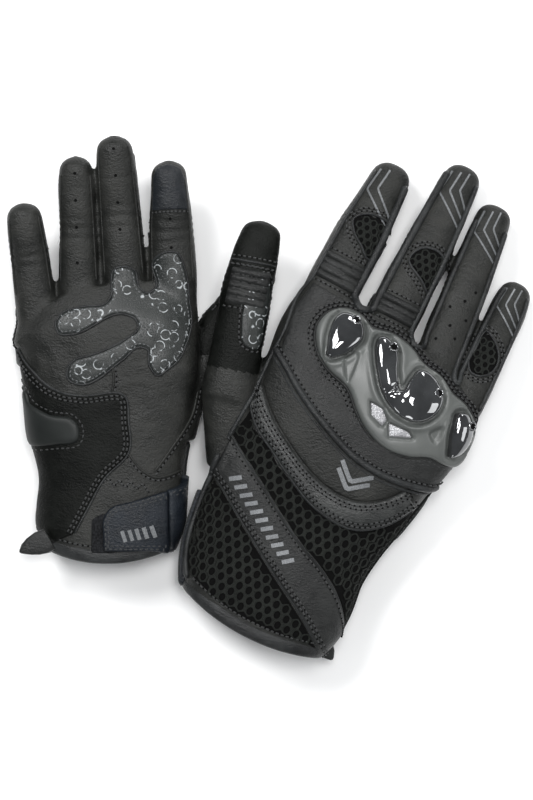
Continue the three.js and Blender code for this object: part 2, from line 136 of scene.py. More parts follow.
# Pattern outlines on the back of the hand.
GUARD = [
    (-32.7, 90.1), (-31.1, 96.4), (-24.6, 102), (-16.4, 102.5), (-9.5, 99.8), (1.1, 101.4), (12.7, 99.2),
    (20, 95.4), (30.2, 93.6), (37.7, 89.5), (50, 85.8), (55.5, 79.8), (57, 69.4), (55, 59.8), (50, 57.8),
    (42.8, 57.6), (32.7, 53.3), (21.8, 51.9), (10.3, 55.6), (2.5, 61.3), (-6.3, 69.2), (
        -19.5, 73.5
    ), (-26.9, 78.6),
]
CAPS = {
    "index": [
        (-27.2, 96), (-25, 99.6), (-20.8, 101), (
            -15.6, 100.2
        ), (-11.7, 96.8), (-10, 92), (-11.8, 86.2), (-16.4, 79.8),
        (-20.4, 77.2), (-22.4, 77.4), (-24.8, 82), (-27, 88.6),
    ],
    "centre": [
        (-5.6, 96), (-2.8, 98.4), (1.4, 98), (5.8, 95.8), (8.8, 91.8), (10.8, 87), (13.2, 83.4), (15.8, 80.6),
        (16.8, 86.6), (18.4, 91.6), (22.4, 92.8), (27, 91.8), (31.4, 89.4), (35, 85.4), (36.6, 81),
        (35.8, 75.6), (32.2, 70.8), (27, 68), (20.2, 68), (13.3, 70.4), (7.3, 74.5), (1.8, 80.8),
        (-2.8, 87.4), (-5.2, 92.6),
    ],
    "little": [
        (43.4, 82), (46.4, 83.6), (50.2, 82.4), (53, 79.2), (54.4, 74), (54, 68.4), (52.2, 64),
        (49.6, 61.6), (46.6, 67), (44, 75)
    ],
}
SCREWS = [(-17.4, 97.6), (3.6, 94.2), (31.4, 84.6), (50.6, 78.2)]
SLOTS = [
    [(6.2, 68.2), (12.4, 67.8), (16.3, 64), (15.6, 61), (9, 63.4)],
    [(18.2, 63.2), (28, 63.6), (30.6, 62.2), (21, 58.2)]
]
RECESSES = [
    [(-15, 85.4), (-9.4, 85.8), (-7.6, 79), (-7.4, 71)],
    [(36.2, 67.6), (41.4, 73.4), (42, 68), (41.2, 64.6)]
]
FLAP_EDGE = [
    (-45.4, 70.6), (-39.4, 66.7), (-25.6, 57.3), (-7.2, 48.1), (12.3, 41.2), (32.3, 40.2), (48, 43.6),
    (56, 47.4)
]
ARC_INNER = [
    (-44, 53), (-33.8, 42.4), (-20, 33.4), (-6.1, 26.4), (6.7, 22.6), (21.5, 23.2), (33.9, 31.1),
    (40, 38.6)
]
ARC_OUTER = [
    (-45, 42), (-36, 33), (-26, 27.4), (-14.3, 20.6), (7.1, 11.4), (27.5, 11.4), (39.6, 20), (48, 33.5)
]
BAND_LOW = [(-45.6, 4.6), (-40, 1.3), (-20.2, -11.3), (3.7, -25.9), (24.4, -38), (37.6, -47.8), (42, -51)]
BAND_HIGH = [(-45.4, 24.2), (-41, 21.4), (-23.2, 10.9), (6, -6.2), (25, -15), (36.6, -23.6), (46, -36)]
FINGER_MESH = {
    "index": [
        (-40.4, 142.8), (-37.6, 147), (-31.5, 149.4), (-24, 148.4), (-21.6, 144.6), (-21.6, 137.4),
        (-23, 129.6), (-25.6, 128.6), (-31.1, 132.6), (-38, 138)
    ],
    "middle": [
        (-8.1, 138.2), (-5.4, 144.6), (4.2, 146.6), (7.6, 144.4), (8.6, 134.8), (7.4, 127), (2.6, 130.4)
    ],
    "little": [
        (41, 124), (47.4, 120.5), (52, 113.4), (51.4, 107.2), (46.9, 103), (42.8, 102.8), (40, 106.4),
        (40, 114.2)
    ],
}

# Pattern outlines on the palm.
GRIP = [
    (-3.4, 110), (-4.5, 115.6), (-9.4, 117.4), (
        -14.6, 115.8
    ), (-18.4, 104.5), (-23.2, 101.6), (-27.4, 104.8),
    (
        -26.6, 121.6
    ), (-32.4, 125.6), (-38.6, 125.6), (-42.6, 117.4), (-45.2, 97.7), (-46.4, 85.8), (-43.2, 71.1),
    (
        -40.6, 64.4
    ), (-33.7, 57.2), (-28.4, 53.6), (-24.6, 58.4), (-22.9, 69.2), (-18.7, 70.4), (-8.9, 62.4),
    (15.6, 48.6), (19.8, 50.6), (19.8, 58.6), (16.2, 62.2), (9.1, 64.4), (-12.1, 75), (
        -18.2, 80.4
    ), (-16.6, 86.9),
    (
        -11.6, 89.4
    ), (19.5, 77.8), (25.2, 78.2), (27, 83.4), (24.4, 89), (14, 93.2), (-1.4, 96.6), (-3.6, 101.1),
]
HEEL_EDGE = [
    (51.5, 69.6), (47.5, 64.5), (40, 55.6), (32.3, 47.6), (24, 43), (14, 41.2), (-11, 40.6), (-12.6, 26),
    (-13.1, 8.9), (1, -8.1), (9.1, -23.9), (17, -40)
]
SLIDER = [
    (48.6, 45), (46, 45.4), (40.5, 37), (30.3, 30.4), (17.6, 27.6), (14.6, 24), (15, 14.4), (26, 12.2),
    (44, 12.6), (48, 14.2)
]
STRAP = [
    (0.6, -50), (1.2, -42), (1.4, -32), (-1.4, -26.4), (-16, -20.6), (-32, -15.2), (-48, -9.6), (-60, -6),
    (-60, -25), (-60, -44), (-50, -48), (-38, -50), (-20, -50.5), (-5, -50.5),
]
LOOP_PATCH = [(-6, -52), (-6, -27), (3.1, -29), (7.6, -32), (8, -52)]


def smooth(x):
    x = np.clip(x, 0, 1)
    return x * x * (3 - 2 * x)


def rounded(x):
    """A quarter-round edge: 0 at the edge itself and 1 from one radius in."""
    return np.sqrt(np.clip(1 - (1 - np.clip(x, 0, 1)) ** 2, 0, 1))


def unit(v):
    return v / np.maximum(np.linalg.norm(v, axis=-1, keepdims=True), 1e-9)


def curve_through(knots, values, at):
    """A smooth curve through values at knots, for each column, read at each of at."""
    knots, values = np.asarray(knots, float), np.asarray(values, float)
    slopes = np.gradient(values, knots, axis=0)
    i = np.clip(np.searchsorted(knots, at) - 1, 0, len(knots) - 2)
    span = knots[i + 1] - knots[i]
    t = np.clip((at - knots[i]) / span, 0, 1)
    shape = (-1,) + (1,) * (values.ndim - 1)
    t, span = t.reshape(shape), span.reshape(shape)
    return (
        (2 * t**3 - 3 * t**2 + 1) * values[i]
        + (t**3 - 2 * t**2 + t) * span * slopes[i]
        + (3 * t**2 - 2 * t**3) * values[i + 1]
        + (t**3 - t**2) * span * slopes[i + 1]
    )


def even(points, step, closed=False, soft=True):
    """Points along a line at an even spacing, on a smooth curve through the given ones if soft."""
    points = np.asarray(points, float)
    if closed:
        points = np.vstack([points, points[:1]])
    if soft and len(points) > 2:
        wide = np.vstack([points[-3:-1], points, points[1:3]]) if closed else points
        along = np.r_[0, np.cumsum(np.linalg.norm(np.diff(wide, axis=0), axis=1))]
        low, high = (along[2], along[-3]) if closed else (0, along[-1])
        dense = curve_through(along, wide, np.linspace(low, high, max(int((high - low) / step * 3), 24)))
    else:
        dense = points
    along = np.r_[0, np.cumsum(np.linalg.norm(np.diff(dense, axis=0), axis=1))]
    count = max(int(round(along[-1] / step)), 3)
    at = np.linspace(0, along[-1], count + 1)
    if closed:
        at = at[:-1]
    return np.stack([np.interp(at, along, dense[:, k]) for k in range(dense.shape[1])], axis=1)


def beside(line, distance):
    """A line moved sideways in the plane, to its left for a positive distance."""
    ahead = unit(np.gradient(line, axis=0))
    return line + distance * np.stack([-ahead[:, 1], ahead[:, 0]], axis=1)


def distance_to(points, loop):
    """Distance from each point to a closed outline, positive inside."""
    a, b = loop, np.roll(loop, -1, axis=0)
    ab = b - a
    ap = points[:, None, :] - a
    t = np.clip((ap * ab).sum(-1) / np.maximum((ab * ab).sum(-1), 1e-12), 0, 1)
    reach = np.linalg.norm(ap - t[..., None] * ab, axis=-1).min(axis=1)
    x, y = points[:, :1], points[:, 1:]
    crosses = (a[:, 1] > y) != (b[:, 1] > y)
    edge = a[:, 0] + (y - a[:, 1]) * ab[:, 0] / np.where(ab[:, 1] == 0, 1e-12, ab[:, 1])
    inside = (crosses & (x < edge)).sum(axis=1) % 2 == 1
    return np.where(inside, reach, -reach)


def squircle(angle, power):
    c, s = np.cos(angle), np.sin(angle)
    return np.sign(c) * np.abs(c) ** (2 / power), np.sign(s) * np.abs(s) ** (2 / power)


def turned(about, degrees):
    return np.array(Matrix.Rotation(math.radians(degrees), 3, about))


class Finger:
    """One finger or thumb: its first hinge frame, its middle joint frame, and its lofted outer shape."""

    def __init__(self, at, lean, roll, bend, long, half, deep):
        self.at, self.bend, self.long, self.half, self.deep = np.array(at, float), bend, long, half, deep
        self.turn = turned("Z", -lean) @ turned("Y", roll)
        self.knuckle = self.turn @ turned("X", -bend[0])
        self.middle = self.turn @ turned("X", -bend[1])
        self.middle_at = self.at + self.knuckle[:, 1] * long[0]

    def from_knuckle(self, points):
        return (points - self.at) @ self.knuckle

    def from_middle(self, points):
        return (points - self.middle_at) @ self.middle

    def spine(self, count=46):
        """Distances along, centres and upright directions, from inside the hand to the tip."""
        first, second = self.long
        s = np.linspace(-20, first + second, count)
        pitch = np.radians(
            self.bend[0] * smooth((s + 16) / 20) + (
                self.bend[1] - self.bend[0]
            ) * smooth((s - first + 9) / 18)
        )
        ahead = np.stack([0 * s, np.cos(pitch), -np.sin(pitch)], axis=1)
        up = np.stack([0 * s, np.sin(pitch), np.cos(pitch)], axis=1)
        steps = (ahead[1:] + ahead[:-1]) / 2 * np.diff(s)[:, None]
        path = np.vstack([np.zeros(3), np.cumsum(steps, axis=0)])
        hinge = np.stack([np.interp(0, s, path[:, k]) for k in range(3)])
        return s, self.at + (path - hinge) @ self.turn.T, up @ self.turn.T

    def loft(self, sides=28):
        first, second = self.long
        s, centre, up = self.spine()
        root, middle, tip = self.half
        total = first + second
        wide = curve_through(
            [-20, 0, first, first + 0.62 * second, total], [root, root, middle, tip + 0.5, tip - 0.8], s
        )
        deep = curve_through(
            [-20, 0, first, first + 0.5 * second, total], np.array([1.02, 1, 1, 0.9, 0.72]) * self.deep, s
        )
        cap = 0.8 * tip
        dome = np.sqrt(np.clip(1 - np.clip((s - total + cap) / cap, 0, 0.985) ** 2.2, 0.02, 1))
        wide, deep = wide * dome, deep * dome
        c, n = squircle((np.arange(sides) + 0.5) / sides * 2 * np.pi, 2.5)
        across = self.turn[:, 0]
        return centre[:, None] + wide[:, None, None] * c[:, None] * across + (
            deep[:, None] * n
        )[..., None] * up[:, None]


class Glove:
    def __init__(self, name, shape):
        self.name = name
        self.fit, self.front = shape["fit"], shape["front"]
        self.hand, self.thumb_root = np.array(shape["hand"], float), np.array(shape["thumb_root"], float)
        self.fingers = {key: Finger(*numbers) for key, numbers in shape["fingers"].items()}
        self.turn = turned("Z", shape["turn"]) @ turned("Y", shape["roll"])
        finger, at = shape["known"]
        hinge = np.array(joints[f"{name}_{finger}_knuckle"]["pos_m"]) / MM
        self.origin = hinge - self.turn @ np.array(at, float)
        self.pieces = {}
        self.points = {}
        self.make_skin()

    def world(self, points):
        return (points @ self.turn.T + self.origin) * MM

    def pattern(self, points):
        """A pattern outline fitted to this glove."""
        wide, long, start = self.fit
        return np.asarray(points, float) * (wide, long) + (0, start)

    def section(self, y):
        """Middle across, half width, middle height and half thickness of the hand at distances y."""
        rows = curve_through(self.hand[:, 0], self.hand[:, 1:], np.asarray(y, float))
        return (rows[:, 0] + rows[:, 1]) / 2, (rows[:, 1] - rows[:, 0]) / 2, rows[:, 2], rows[:, 3]

    def hem_rise(self, across):
        """How far the hem stands above the mouth's lowest station, from -1 to 1 across the hand."""
        return 0.5 + 6 * across**2

    def hand_rings(self, sides=72, power=2.7):
        y = np.linspace(self.hand[0, 0], self.hand[-1, 0], 60)
        x, wide, z, deep = self.section(y)
        c, n = squircle((np.arange(sides) + 0.5) / sides * 2 * np.pi, power)
        rings = np.stack(
            [x[:, None] + wide[:, None] * c, y[:, None] + 0 * c, z[:, None] + deep[:, None] * n], axis=-1
        )
        hem = smooth((self.hand[0, 0] + 34 - y) / 34)[:, None]
        rings[..., 1] += hem * self.hem_rise(c)
        reach, widest, fall = self.front
        webs = smooth((y - 0.5 * reach) / (0.5 * reach))[:, None]
        rings[..., 1] -= webs * fall * np.clip(rings[..., 0] - widest, 0, None) ** 2
        return rings

    def make_skin(self):
        root = self.thumb_root
        y = np.linspace(root[0, 0], root[-1, 0], 14)
        x, z, wide, deep = curve_through(root[:, 0], root[:, 1:], y).T
        c, n = squircle((np.arange(32) + 0.5) / 32 * 2 * np.pi, 2.4)
        thumb = np.stack(
            [x[:, None] + wide[:, None] * c, y[:, None] + 0 * c, z[:, None] + deep[:, None] * n], axis=-1
        )
        lofts = [self.hand_rings(), thumb] + [finger.loft() for finger in self.fingers.values()]
        points, faces = joined(tube_of(rings) for rings in lofts)
        rough = new_mesh("rough", points * MM, faces)
        remesh = rough.modifiers.new("remesh", "REMESH")
        remesh.mode, remesh.voxel_size = "VOXEL", VOXEL * MM
        even_out = rough.modifiers.new("even_out", "SMOOTH")
        even_out.factor, even_out.iterations = 0.5, 9
        mesh = applied(rough)
        self.form_points, self.faces = arrays_of(mesh)
        self.form_normals = normals_of(mesh)
        self.form = BVHTree.FromPolygons(self.form_points.tolist(), self.faces)
        self.skin_points = self.form_points + self.form_normals * self.relief(
            self.form_points, self.form_normals
        )[:, None]
        worn = new_mesh("worn", self.skin_points * MM, self.faces).data
        self.skin_normals = normals_of(worn)
        self.skin = BVHTree.FromPolygons(self.skin_points.tolist(), self.faces)
        bpy.data.meshes.remove(worn)

    def relief(self, points, normals):
        """How far worn leather stands in or out: creases at the joints, folds and soft lumps."""
        out = np.zeros(len(points))
        soft = np.array([noise.noise(Vector(p) / 13) for p in points])
        fine = np.array([noise.noise(Vector((p[0] / 7, p[1] / 3.1, p[2] / 6))) for p in points])
        out += 0.45 * soft
        facing_palm = smooth(-normals[:, 2] * 1.6)
        for key, finger in self.fingers.items():
            near = finger.from_middle(points)
            tube = (
                np.hypot(near[:, 0] / finger.half[1], near[:, 2] / finger.deep) < 1.3
            ) & (near[:, 1] > -finger.long[0])
            toward_palm = smooth(-(normals @ finger.middle[:, 2]) * 1.5)
            wavy = near[:, 1] + 1.3 * soft
            for at, deep in ((-4.5, 0.28), (0.5, 0.45), (5.5, 0.25), (19, 0.18)):
                crease = np.exp(-(((wavy - at) / 1.15) ** 2)) * deep
                out -= np.where(tube, crease * toward_palm, 0)
            out -= np.where(
                tube,
                0.22 * np.exp(-((near[:, 1] / 7) ** 2)) * np.cos(
                    near[:, 1] * 1.9 + 3 * soft
                ) * (1 - toward_palm),
                0
            )
        low, high = self.pattern([(0, 10)])[0, 1], self.pattern([(0, 85)])[0, 1]
        middle = smooth((points[:, 1] - low) / 12) * smooth((high - points[:, 1]) / 12)
        out += 0.42 * facing_palm * middle * np.minimum(fine, 0.15)
        return out

    def surface(self, flat, side, skin=True):
        """Points and normals of the glove under flat pattern points, wrapped round the hand's edges."""
        tree = self.skin if skin else self.form
        points, normals = np.empty((len(flat), 3)), np.empty((len(flat), 3))
        x, wide, z, _ = self.section(np.clip(flat[:, 1], self.hand[0, 0], self.hand[-1, 0]))
        past = np.abs(flat[:, 0] - x) - 0.9 * wide
        thumb = self.fingers["thumb"]
        near = thumb.from_knuckle(np.c_[flat, np.full(len(flat), thumb.at[2])])
        on_thumb = (near[:, 1] > -8) & (np.abs(near[:, 2]) < 1.6 * thumb.deep)
        by_thumb = (flat[:, 0] < x) & (flat[:, 1] > self.thumb_root[0, 0])
        wraps = (past > 0) & (flat[:, 1] < self.front[0] - 16) & ~on_thumb & ~by_thumb
        for i, (across, along) in enumerate(flat):
            start, aim = Vector((across, along, side * 60)), Vector((0, 0, -side))
            if wraps[i]:
                angle, left = min(past[i] / 9, 1.5), across < x[i]
                out = Vector((math.sin(angle) * (-1 if left else 1), 0, side * math.cos(angle)))
                hub = Vector((x[i] + wide[i] * (-0.9 if left else 0.9), along, z[i]))
                start, aim = hub + out * 60, -out
            place, normal, _, _ = tree.ray_cast(start, aim)
            if place is None:
                place, normal, _, _ = tree.find_nearest(Vector((across, along, side * 4 + float(z[i]))))
            points[i], normals[i] = place, normal
        return points, unit(normals)

    def region(self, points):
        """The part of the glove that each point belongs to: hand, or a finger's lower or upper part."""
        names = np.full(len(points), "hand", dtype="U16")
        best = np.full(len(points), 9.0)
        for key, finger in self.fingers.items():
            near, far = finger.from_knuckle(points), finger.from_middle(points)
            off = np.abs(near[:, 0]) / finger.half[0] if key != "thumb" else np.hypot(
                near[:, 0] / finger.half[0], near[:, 2] / finger.deep
            )
            mine = (near[:, 1] > -6) & (off < best) & (off < (1.16 if key == "thumb" else 2.2))
            names[mine] = np.where(far[mine, 1] > -12, f"{key}_upper", f"{key}_lower")
            best[mine] = off[mine]
        return names

    def add(self, kind, points, faces, region="hand"):
        """Adds a closed shape to the region's piece of that kind."""
        self.pieces.setdefault((region, kind), []).append((points, faces))

    def add_tube(self, kind, rings, closed=False):
        """Adds a tube, cut where it crosses from one region to another."""
        if closed:
            rings = np.vstack([rings, rings[:1]])
        centres = rings.mean(axis=1)
        regions = self.region((centres[1:] + centres[:-1]) / 2)
        if closed and len(set(regions)) == 1:
            points, faces = tube_of(rings, ends=False)
            last = len(points) - rings.shape[1]
            self.add(kind, points[:last], [[i % last for i in face] for face in faces], regions[0])
            return
        cuts = [0] + [i for i in range(1, len(regions)) if regions[i] != regions[i - 1]] + [len(regions)]
        for start, end in zip(cuts, cuts[1:]):
            self.add(kind, *tube_of(rings[start:end + 1]), regions[start])

    def bind(self, obj, region):
        """A hand piece is attached to the hand's body; for a finger piece the ends of a line across the joint
        that its region starts at are worked out, and its transform is baked into its mesh.
        """
        if region == "hand":
            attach(obj, "gloves")
            return
        key, part = region.split("_")
        finger = self.fingers[key]
        if part == "lower":
            start, end = -2, min(13, finger.long[0] - 13)
            line = [finger.at + finger.knuckle[:, 1] * y for y in (start, end)]
        else:
            line = [finger.middle_at + finger.middle[:, 1] * y for y in (-8, 8)]
        start, end = self.world(np.array(line))
        tuple(start)
        tuple(end)
        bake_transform(obj)


def new_mesh(name, points, faces):
    mesh = bpy.data.meshes.new(name)
    mesh.from_pydata(np.asarray(points).tolist(), [], faces)
    obj = bpy.data.objects.new(name, mesh)
    bpy.context.scene.collection.objects.link(obj)
    return obj


def joined(shapes):
    """Several shapes' points and faces as one shape's."""
    points, faces, start = [], [], 0
    for shape_points, shape_faces in shapes:
        points.append(shape_points)
        faces += [[i + start for i in face] for face in shape_faces]
        start += len(shape_points)
    return np.vstack(points), faces


def applied(obj):
    """The object's final mesh, with the object itself removed."""
    graph = bpy.context.evaluated_depsgraph_get()
    mesh = bpy.data.meshes.new_from_object(obj.evaluated_get(graph))
    bpy.data.objects.remove(obj)
    return mesh


def arrays_of(mesh):
    points = np.empty(len(mesh.vertices) * 3)
    mesh.vertices.foreach_get("co", points)
    return points.reshape(-1, 3) / MM, [list(face.vertices) for face in mesh.polygons]


def normals_of(mesh):
    normals = np.empty(len(mesh.vertices) * 3)
    mesh.vertices.foreach_get("normal", normals)
    return normals.reshape(-1, 3)


def tube_of(rings, ends=True):
    """Points and faces of a closed tube through rings of points."""
    count, sides = rings.shape[:2]
    faces = []
    for r in range(count - 1):
        for i in range(sides):
            j = (i + 1) % sides
            faces.append([r * sides + i, (r + 1) * sides + i, (r + 1) * sides + j, r * sides + j])
    if ends:
        faces.append(list(range(sides)))
        faces.append([(count - 1) * sides + i for i in range(sides)][::-1])
    area = np.cross(rings[0], np.roll(rings[0], -1, axis=0)).sum(axis=0)
    if area @ (rings[1].mean(axis=0) - rings[0].mean(axis=0)) > 0:
        faces = [face[::-1] for face in faces]
    return rings.reshape(-1, 3), faces


def rim_of(faces, count):
    """Faces that join a sheet's open edges to those of its underside, whose points follow count later."""
    edges = {(a, b) for face in faces for a, b in zip(face, face[1:] + face[:1])}
    return [[b, a, a + count, b + count] for a, b in edges if (b, a) not in edges]


def cord_along(glove, flat, side, radius, lift=0.3, kind="piping", closed=False, sides=10, skin=True):
    """A rolled edge or piping laid along a flat line on the glove."""
    place, normal = glove.surface(flat, side, skin)
    if closed:
        normal = unit(sum(np.roll(normal, k, axis=0) for k in (-2, -1, 0, 1, 2)))
        ahead = unit(np.roll(place, -1, axis=0) - np.roll(place, 1, axis=0))
    else:
        for _ in range(3):
            place[1:-1] = (place[:-2] + 2 * place[1:-1] + place[2:]) / 4
            normal[1:-1] = unit(normal[:-2] + 2 * normal[1:-1] + normal[2:])
        ahead = unit(np.gradient(place, axis=0))
    across = unit(np.cross(ahead, normal))
    up = np.cross(across, ahead)
    centre = place + normal * radius * lift
    angle = np.arange(sides) / sides * 2 * np.pi
    scale = np.ones(len(place))
    if not closed:
        scale[[0, -1]], scale[[1, -2]] = 0.35, 0.8
    ring = (np.cos(angle)[:, None] * across[:, None] + np.sin(angle)[:, None] * up[:, None]) * radius
    rings = centre[:, None] + ring * scale[:, None, None]
    glove.add_tube(kind, rings, closed)


def panel(
    glove, kind, outline, side, height, spacing=1.6, edge=1.0, sink=0.7, holes=(), soft=True, skin=True,
    lip=0.25
):
    """A closed sheet on the glove. height gives its thickness from flat points and their depth."""
    loops = [even(outline, spacing, closed=True, soft=soft)]
    loops += [even(hole, spacing * 0.6, closed=True, soft=False) for hole in holes]
    low, high = loops[0].min(axis=0), loops[0].max(axis=0)
    columns = np.arange(low[0], high[0], spacing)
    rows = np.arange(low[1], high[1], spacing * 0.866)
    grid = np.array([(x + (j % 2) * spacing / 2, y) for j, y in enumerate(rows) for x in columns])

    def depth(points):
        return np.min(
            [distance_to(points, loop) * (1 if k == 0 else -1) for k, loop in enumerate(loops)], axis=0
        )

    near_edge = [beside(loop, edge * f) for loop in loops for f in (0.3, 0.8, -0.3, -0.8)]
    collars = [line[(depth(line) > 0.2 * edge)] for line in near_edge]
    inner = np.vstack([grid[depth(grid) > max(edge, 0.5 * spacing)]] + collars)
    flat = np.vstack(loops + [inner])
    links, start = [], 0
    for loop in loops:
        links += [(start + i, start + (i + 1) % len(loop)) for i in range(len(loop))]
        start += len(loop)
    points2, _, triangles, _, _, _ = delaunay_2d_cdt([Vector(p) for p in flat], links, [], 1, 1e-4)
    flat = np.array([tuple(p) for p in points2])
    triangles = np.array([t for t in triangles])
    triangles = triangles[depth(flat[triangles].mean(axis=1)) > 0]
    used, triangles = np.unique(triangles, return_inverse=True)
    flat, triangles = flat[used], triangles.reshape(-1, 3)
    inside = np.clip(depth(flat), 0, None)
    place, normal = glove.surface(flat, side, skin)
    if side < 0:
        triangles = triangles[:, ::-1]
    tall = height(flat[:, 0], flat[:, 1], inside) * (lip + (1 - lip) * rounded(inside / edge))
    top, bottom = place + normal * tall[:, None], place - normal * sink
    regions = np.full(len(triangles), "hand") if ":" in kind else glove.region(
        place[triangles].mean(axis=1)
    )
    for region in np.unique(regions):
        used, mine = np.unique(triangles[regions == region], return_inverse=True)
        mine, count = mine.reshape(-1, 3).tolist(), len(used)
        faces = mine + [[i + count for i in face[::-1]] for face in mine] + rim_of(mine, count)
        glove.add(kind, np.vstack([top[used], bottom[used]]), faces, region)


def stitches(
    glove, line, side, rows=(0.0,), pitch=2.5, closed=False, lift=0.1, kind="stitching", skin=True,
    soft=True
):
    """Marks where stitches go along a flat line, in one or more rows beside it."""
    for row in rows:
        path = even(line, 0.8, closed, soft)
        if row:
            path = beside(path, row)
        flat = even(path, pitch, closed, soft=False)
        place, normal = glove.surface(flat, side, skin)
        ahead = unit(np.roll(place, -1, axis=0) - place) if closed else unit(np.gradient(place, axis=0))
        mark(glove, kind, place + normal * lift, ahead, normal)
        # Each stitch is followed by a needle hole, a near-black plug that is painted shade.
        if kind == "stitching":
            mark(glove, "needle_holes", place + ahead * pitch / 2 + normal * lift, ahead, normal)


def mark(glove, kind, place, ahead, normal):
    regions = np.full(len(place), "hand") if ":" in kind else glove.region(place)
    for region in np.unique(regions):
        mine = regions == region
        glove.points.setdefault((region, kind), []).append((place[mine], ahead[mine], normal[mine]))


class Graph:
    """Builds a node tree: node() adds any node, and a Value does arithmetic on its sockets."""

    def __init__(self, tree):
        self.tree = tree

    def node(self, kind, settings=None, inputs=None, output=0):
        made = self.tree.nodes.new(kind)
        for key, value in (settings or {}).items():
            setattr(made, key, value)
        for key, value in (inputs or {}).items():
            socket = made.inputs[key]
            if isinstance(value, Value):
                self.tree.links.new(value.socket, socket)
            else:
                socket.default_value = value
        return Value(self, made.outputs[output])


class Value:
    def __init__(self, graph, socket):
        self.graph, self.socket = graph, socket

    def math(self, operation, a, b=0.0):
        return self.graph.node("ShaderNodeMath", {"operation": operation}, {0: a, 1: b})

    def __add__(self, other):
        return self.math("ADD", self, other)

    def __mul__(self, other):
        return self.math("MULTIPLY", self, other)

    def __sub__(self, other):
        return self.math("SUBTRACT", self, other)

    def __rsub__(self, other):
        return self.math("SUBTRACT", other, self)

    def __truediv__(self, other):
        return self.math("DIVIDE", self, other)

    __radd__, __rmul__ = __add__, __mul__

    def clip(self, low, high):
        """0 below low, 1 above high, and even in between."""
        return self.graph.node(
            "ShaderNodeMapRange", {}, {
                "Value": self, "From Min": low, "From Max": high, "To Min": 0.0, "To Max": 1.0
            }
        )


SHADER_INPUTS = {
    "metallic": "Metallic", "specular": "Specular IOR Level", "coat": "Coat Weight",
    "coat_rough": "Coat Roughness", "sheen": "Sheen Weight",
}


class Finish(Graph):
    """A material made of nodes, on object coordinates in metres."""

    def __init__(self, name):
        self.material = bpy.data.materials.new(name)
        self.material.use_nodes = True
        super().__init__(self.material.node_tree)
        self.shader = self.tree.nodes["Principled BSDF"]
        self.place = self.node("ShaderNodeTexCoord", output=3)

    def noise(self, scale, detail=3.0, rough=0.55, place=None):
        inputs = {"Vector": place or self.place, "Scale": scale, "Detail": detail, "Roughness": rough}
        return self.node("ShaderNodeTexNoise", {}, inputs)

    def cells(self, scale, place=None, randomness=1.0):
        inputs = {"Vector": place or self.place, "Scale": scale, "Randomness": randomness}
        return self.node("ShaderNodeTexVoronoi", {}, inputs)

    def stretch(self, scale, turn=(0, 0, 0)):
        return self.node(
            "ShaderNodeMapping", {}, {"Vector": self.place, "Scale": scale, "Rotation": turn}
        )

    def mix(self, amount, a, b):
        color = lambda c: c if isinstance(c, Value) else (*c, 1)
        inputs = {"Factor": amount, "A": color(a), "B": color(b)}
        made = self.tree.nodes.new("ShaderNodeMix")
        made.data_type = "RGBA"
        for socket in made.inputs:
            if not socket.enabled:
                continue
            value = inputs.get(socket.name)
            if isinstance(value, Value):
                self.tree.links.new(value.socket, socket)
            elif value is not None:
                socket.default_value = value
        return Value(self, next(s for s in made.outputs if s.enabled))

    def finish(self, color, rough, bump, depth=0.0002, strength=0.6, **fixed):
        """Connects the colour, roughness and height. fixed: other values of the shader, such as coat."""
        varying = {"Base Color": color, "Roughness": rough}
        varying["Normal"] = self.node(
            "ShaderNodeBump", {}, {"Height": bump, "Strength": strength, "Distance": depth}
        )
        for key, value in varying.items():
            if isinstance(value, Value):
                self.tree.links.new(value.socket, self.shader.inputs[key])
            else:
                self.shader.inputs[key].default_value = value
        for key, value in fixed.items():
            self.shader.inputs[SHADER_INPUTS[key]].default_value = value
        return self.material


def leather(name, dark, light, rough=0.47, grain=1.0, scale=1.0, shine=0.24):
    """Grained leather: pebbles over fine creases, paler and rougher where it is rubbed."""
    f = Finish(name)
    wide = f.noise(38 * scale, 4.0)
    rubbed = f.noise(140 * scale, 3.0)
    pebbles = f.cells(1150 * scale)
    creases = f.noise(420 * scale, 5.0, 0.6, f.stretch((1, 1.9, 1), (0.2, 0.1, 0.6)))
    height = pebbles * 0.5 * grain + creases * 1.6 + wide * 0.5
    tint = (wide * 0.6 + rubbed * 0.4).clip(0.4, 0.64)
    worn = rubbed.clip(0.35, 0.7) * 0.16 + pebbles * 0.1 * grain + (rough - 0.12)
    return f.finish(f.mix(tint, dark, light), worn, height, 0.00042, 0.65, specular=shine)


def moulded(name, dark, light, rough=0.36, shine=0.5):
    f = Finish(name)
    cloud, speckle = f.noise(26, 3.0), f.noise(2600, 2.0)
    shade = (cloud * 0.8 + speckle * 0.2).clip(0.38, 0.62)
    worn = cloud.clip(0.3, 0.7) * 0.12 + rough
    return f.finish(f.mix(shade, dark, light), worn, speckle, 0.00005, 0.3, specular=shine)


def polished(name):
    f = Finish(name)
    cloud, haze = f.noise(60, 3.0), f.noise(900, 3.0)
    color = f.mix(cloud.clip(0.35, 0.65), (0.1, 0.102, 0.105), (0.2, 0.205, 0.21))
    rough = haze.clip(0.45, 0.8) * 0.05 + 0.04
    return f.finish(color, rough, haze, 0.00002, 0.08, metallic=0.9, coat=1.0, coat_rough=0.03)


def knit(name, dark, light, scale=1.0, rough=0.78):
    f = Finish(name)
    threads = f.cells(2300 * scale, place=f.stretch((1, 0.62, 1)), randomness=0.55)
    cloud = f.noise(70, 3.0)
    shade = (threads * 0.7 + cloud * 0.4).clip(0.25, 0.85)
    return f.finish(f.mix(shade, light, dark), rough, threads, 0.00025, 0.8, specular=0.15)


def silver_mesh(name):
    f = Finish(name)
    weave = f.cells(1500, randomness=0.35)
    color = f.mix(weave.clip(0.12, 0.5), (0.85, 0.86, 0.88), (0.22, 0.22, 0.23))
    return f.finish(color, 0.38, weave, 0.0002, 0.7, metallic=0.35)


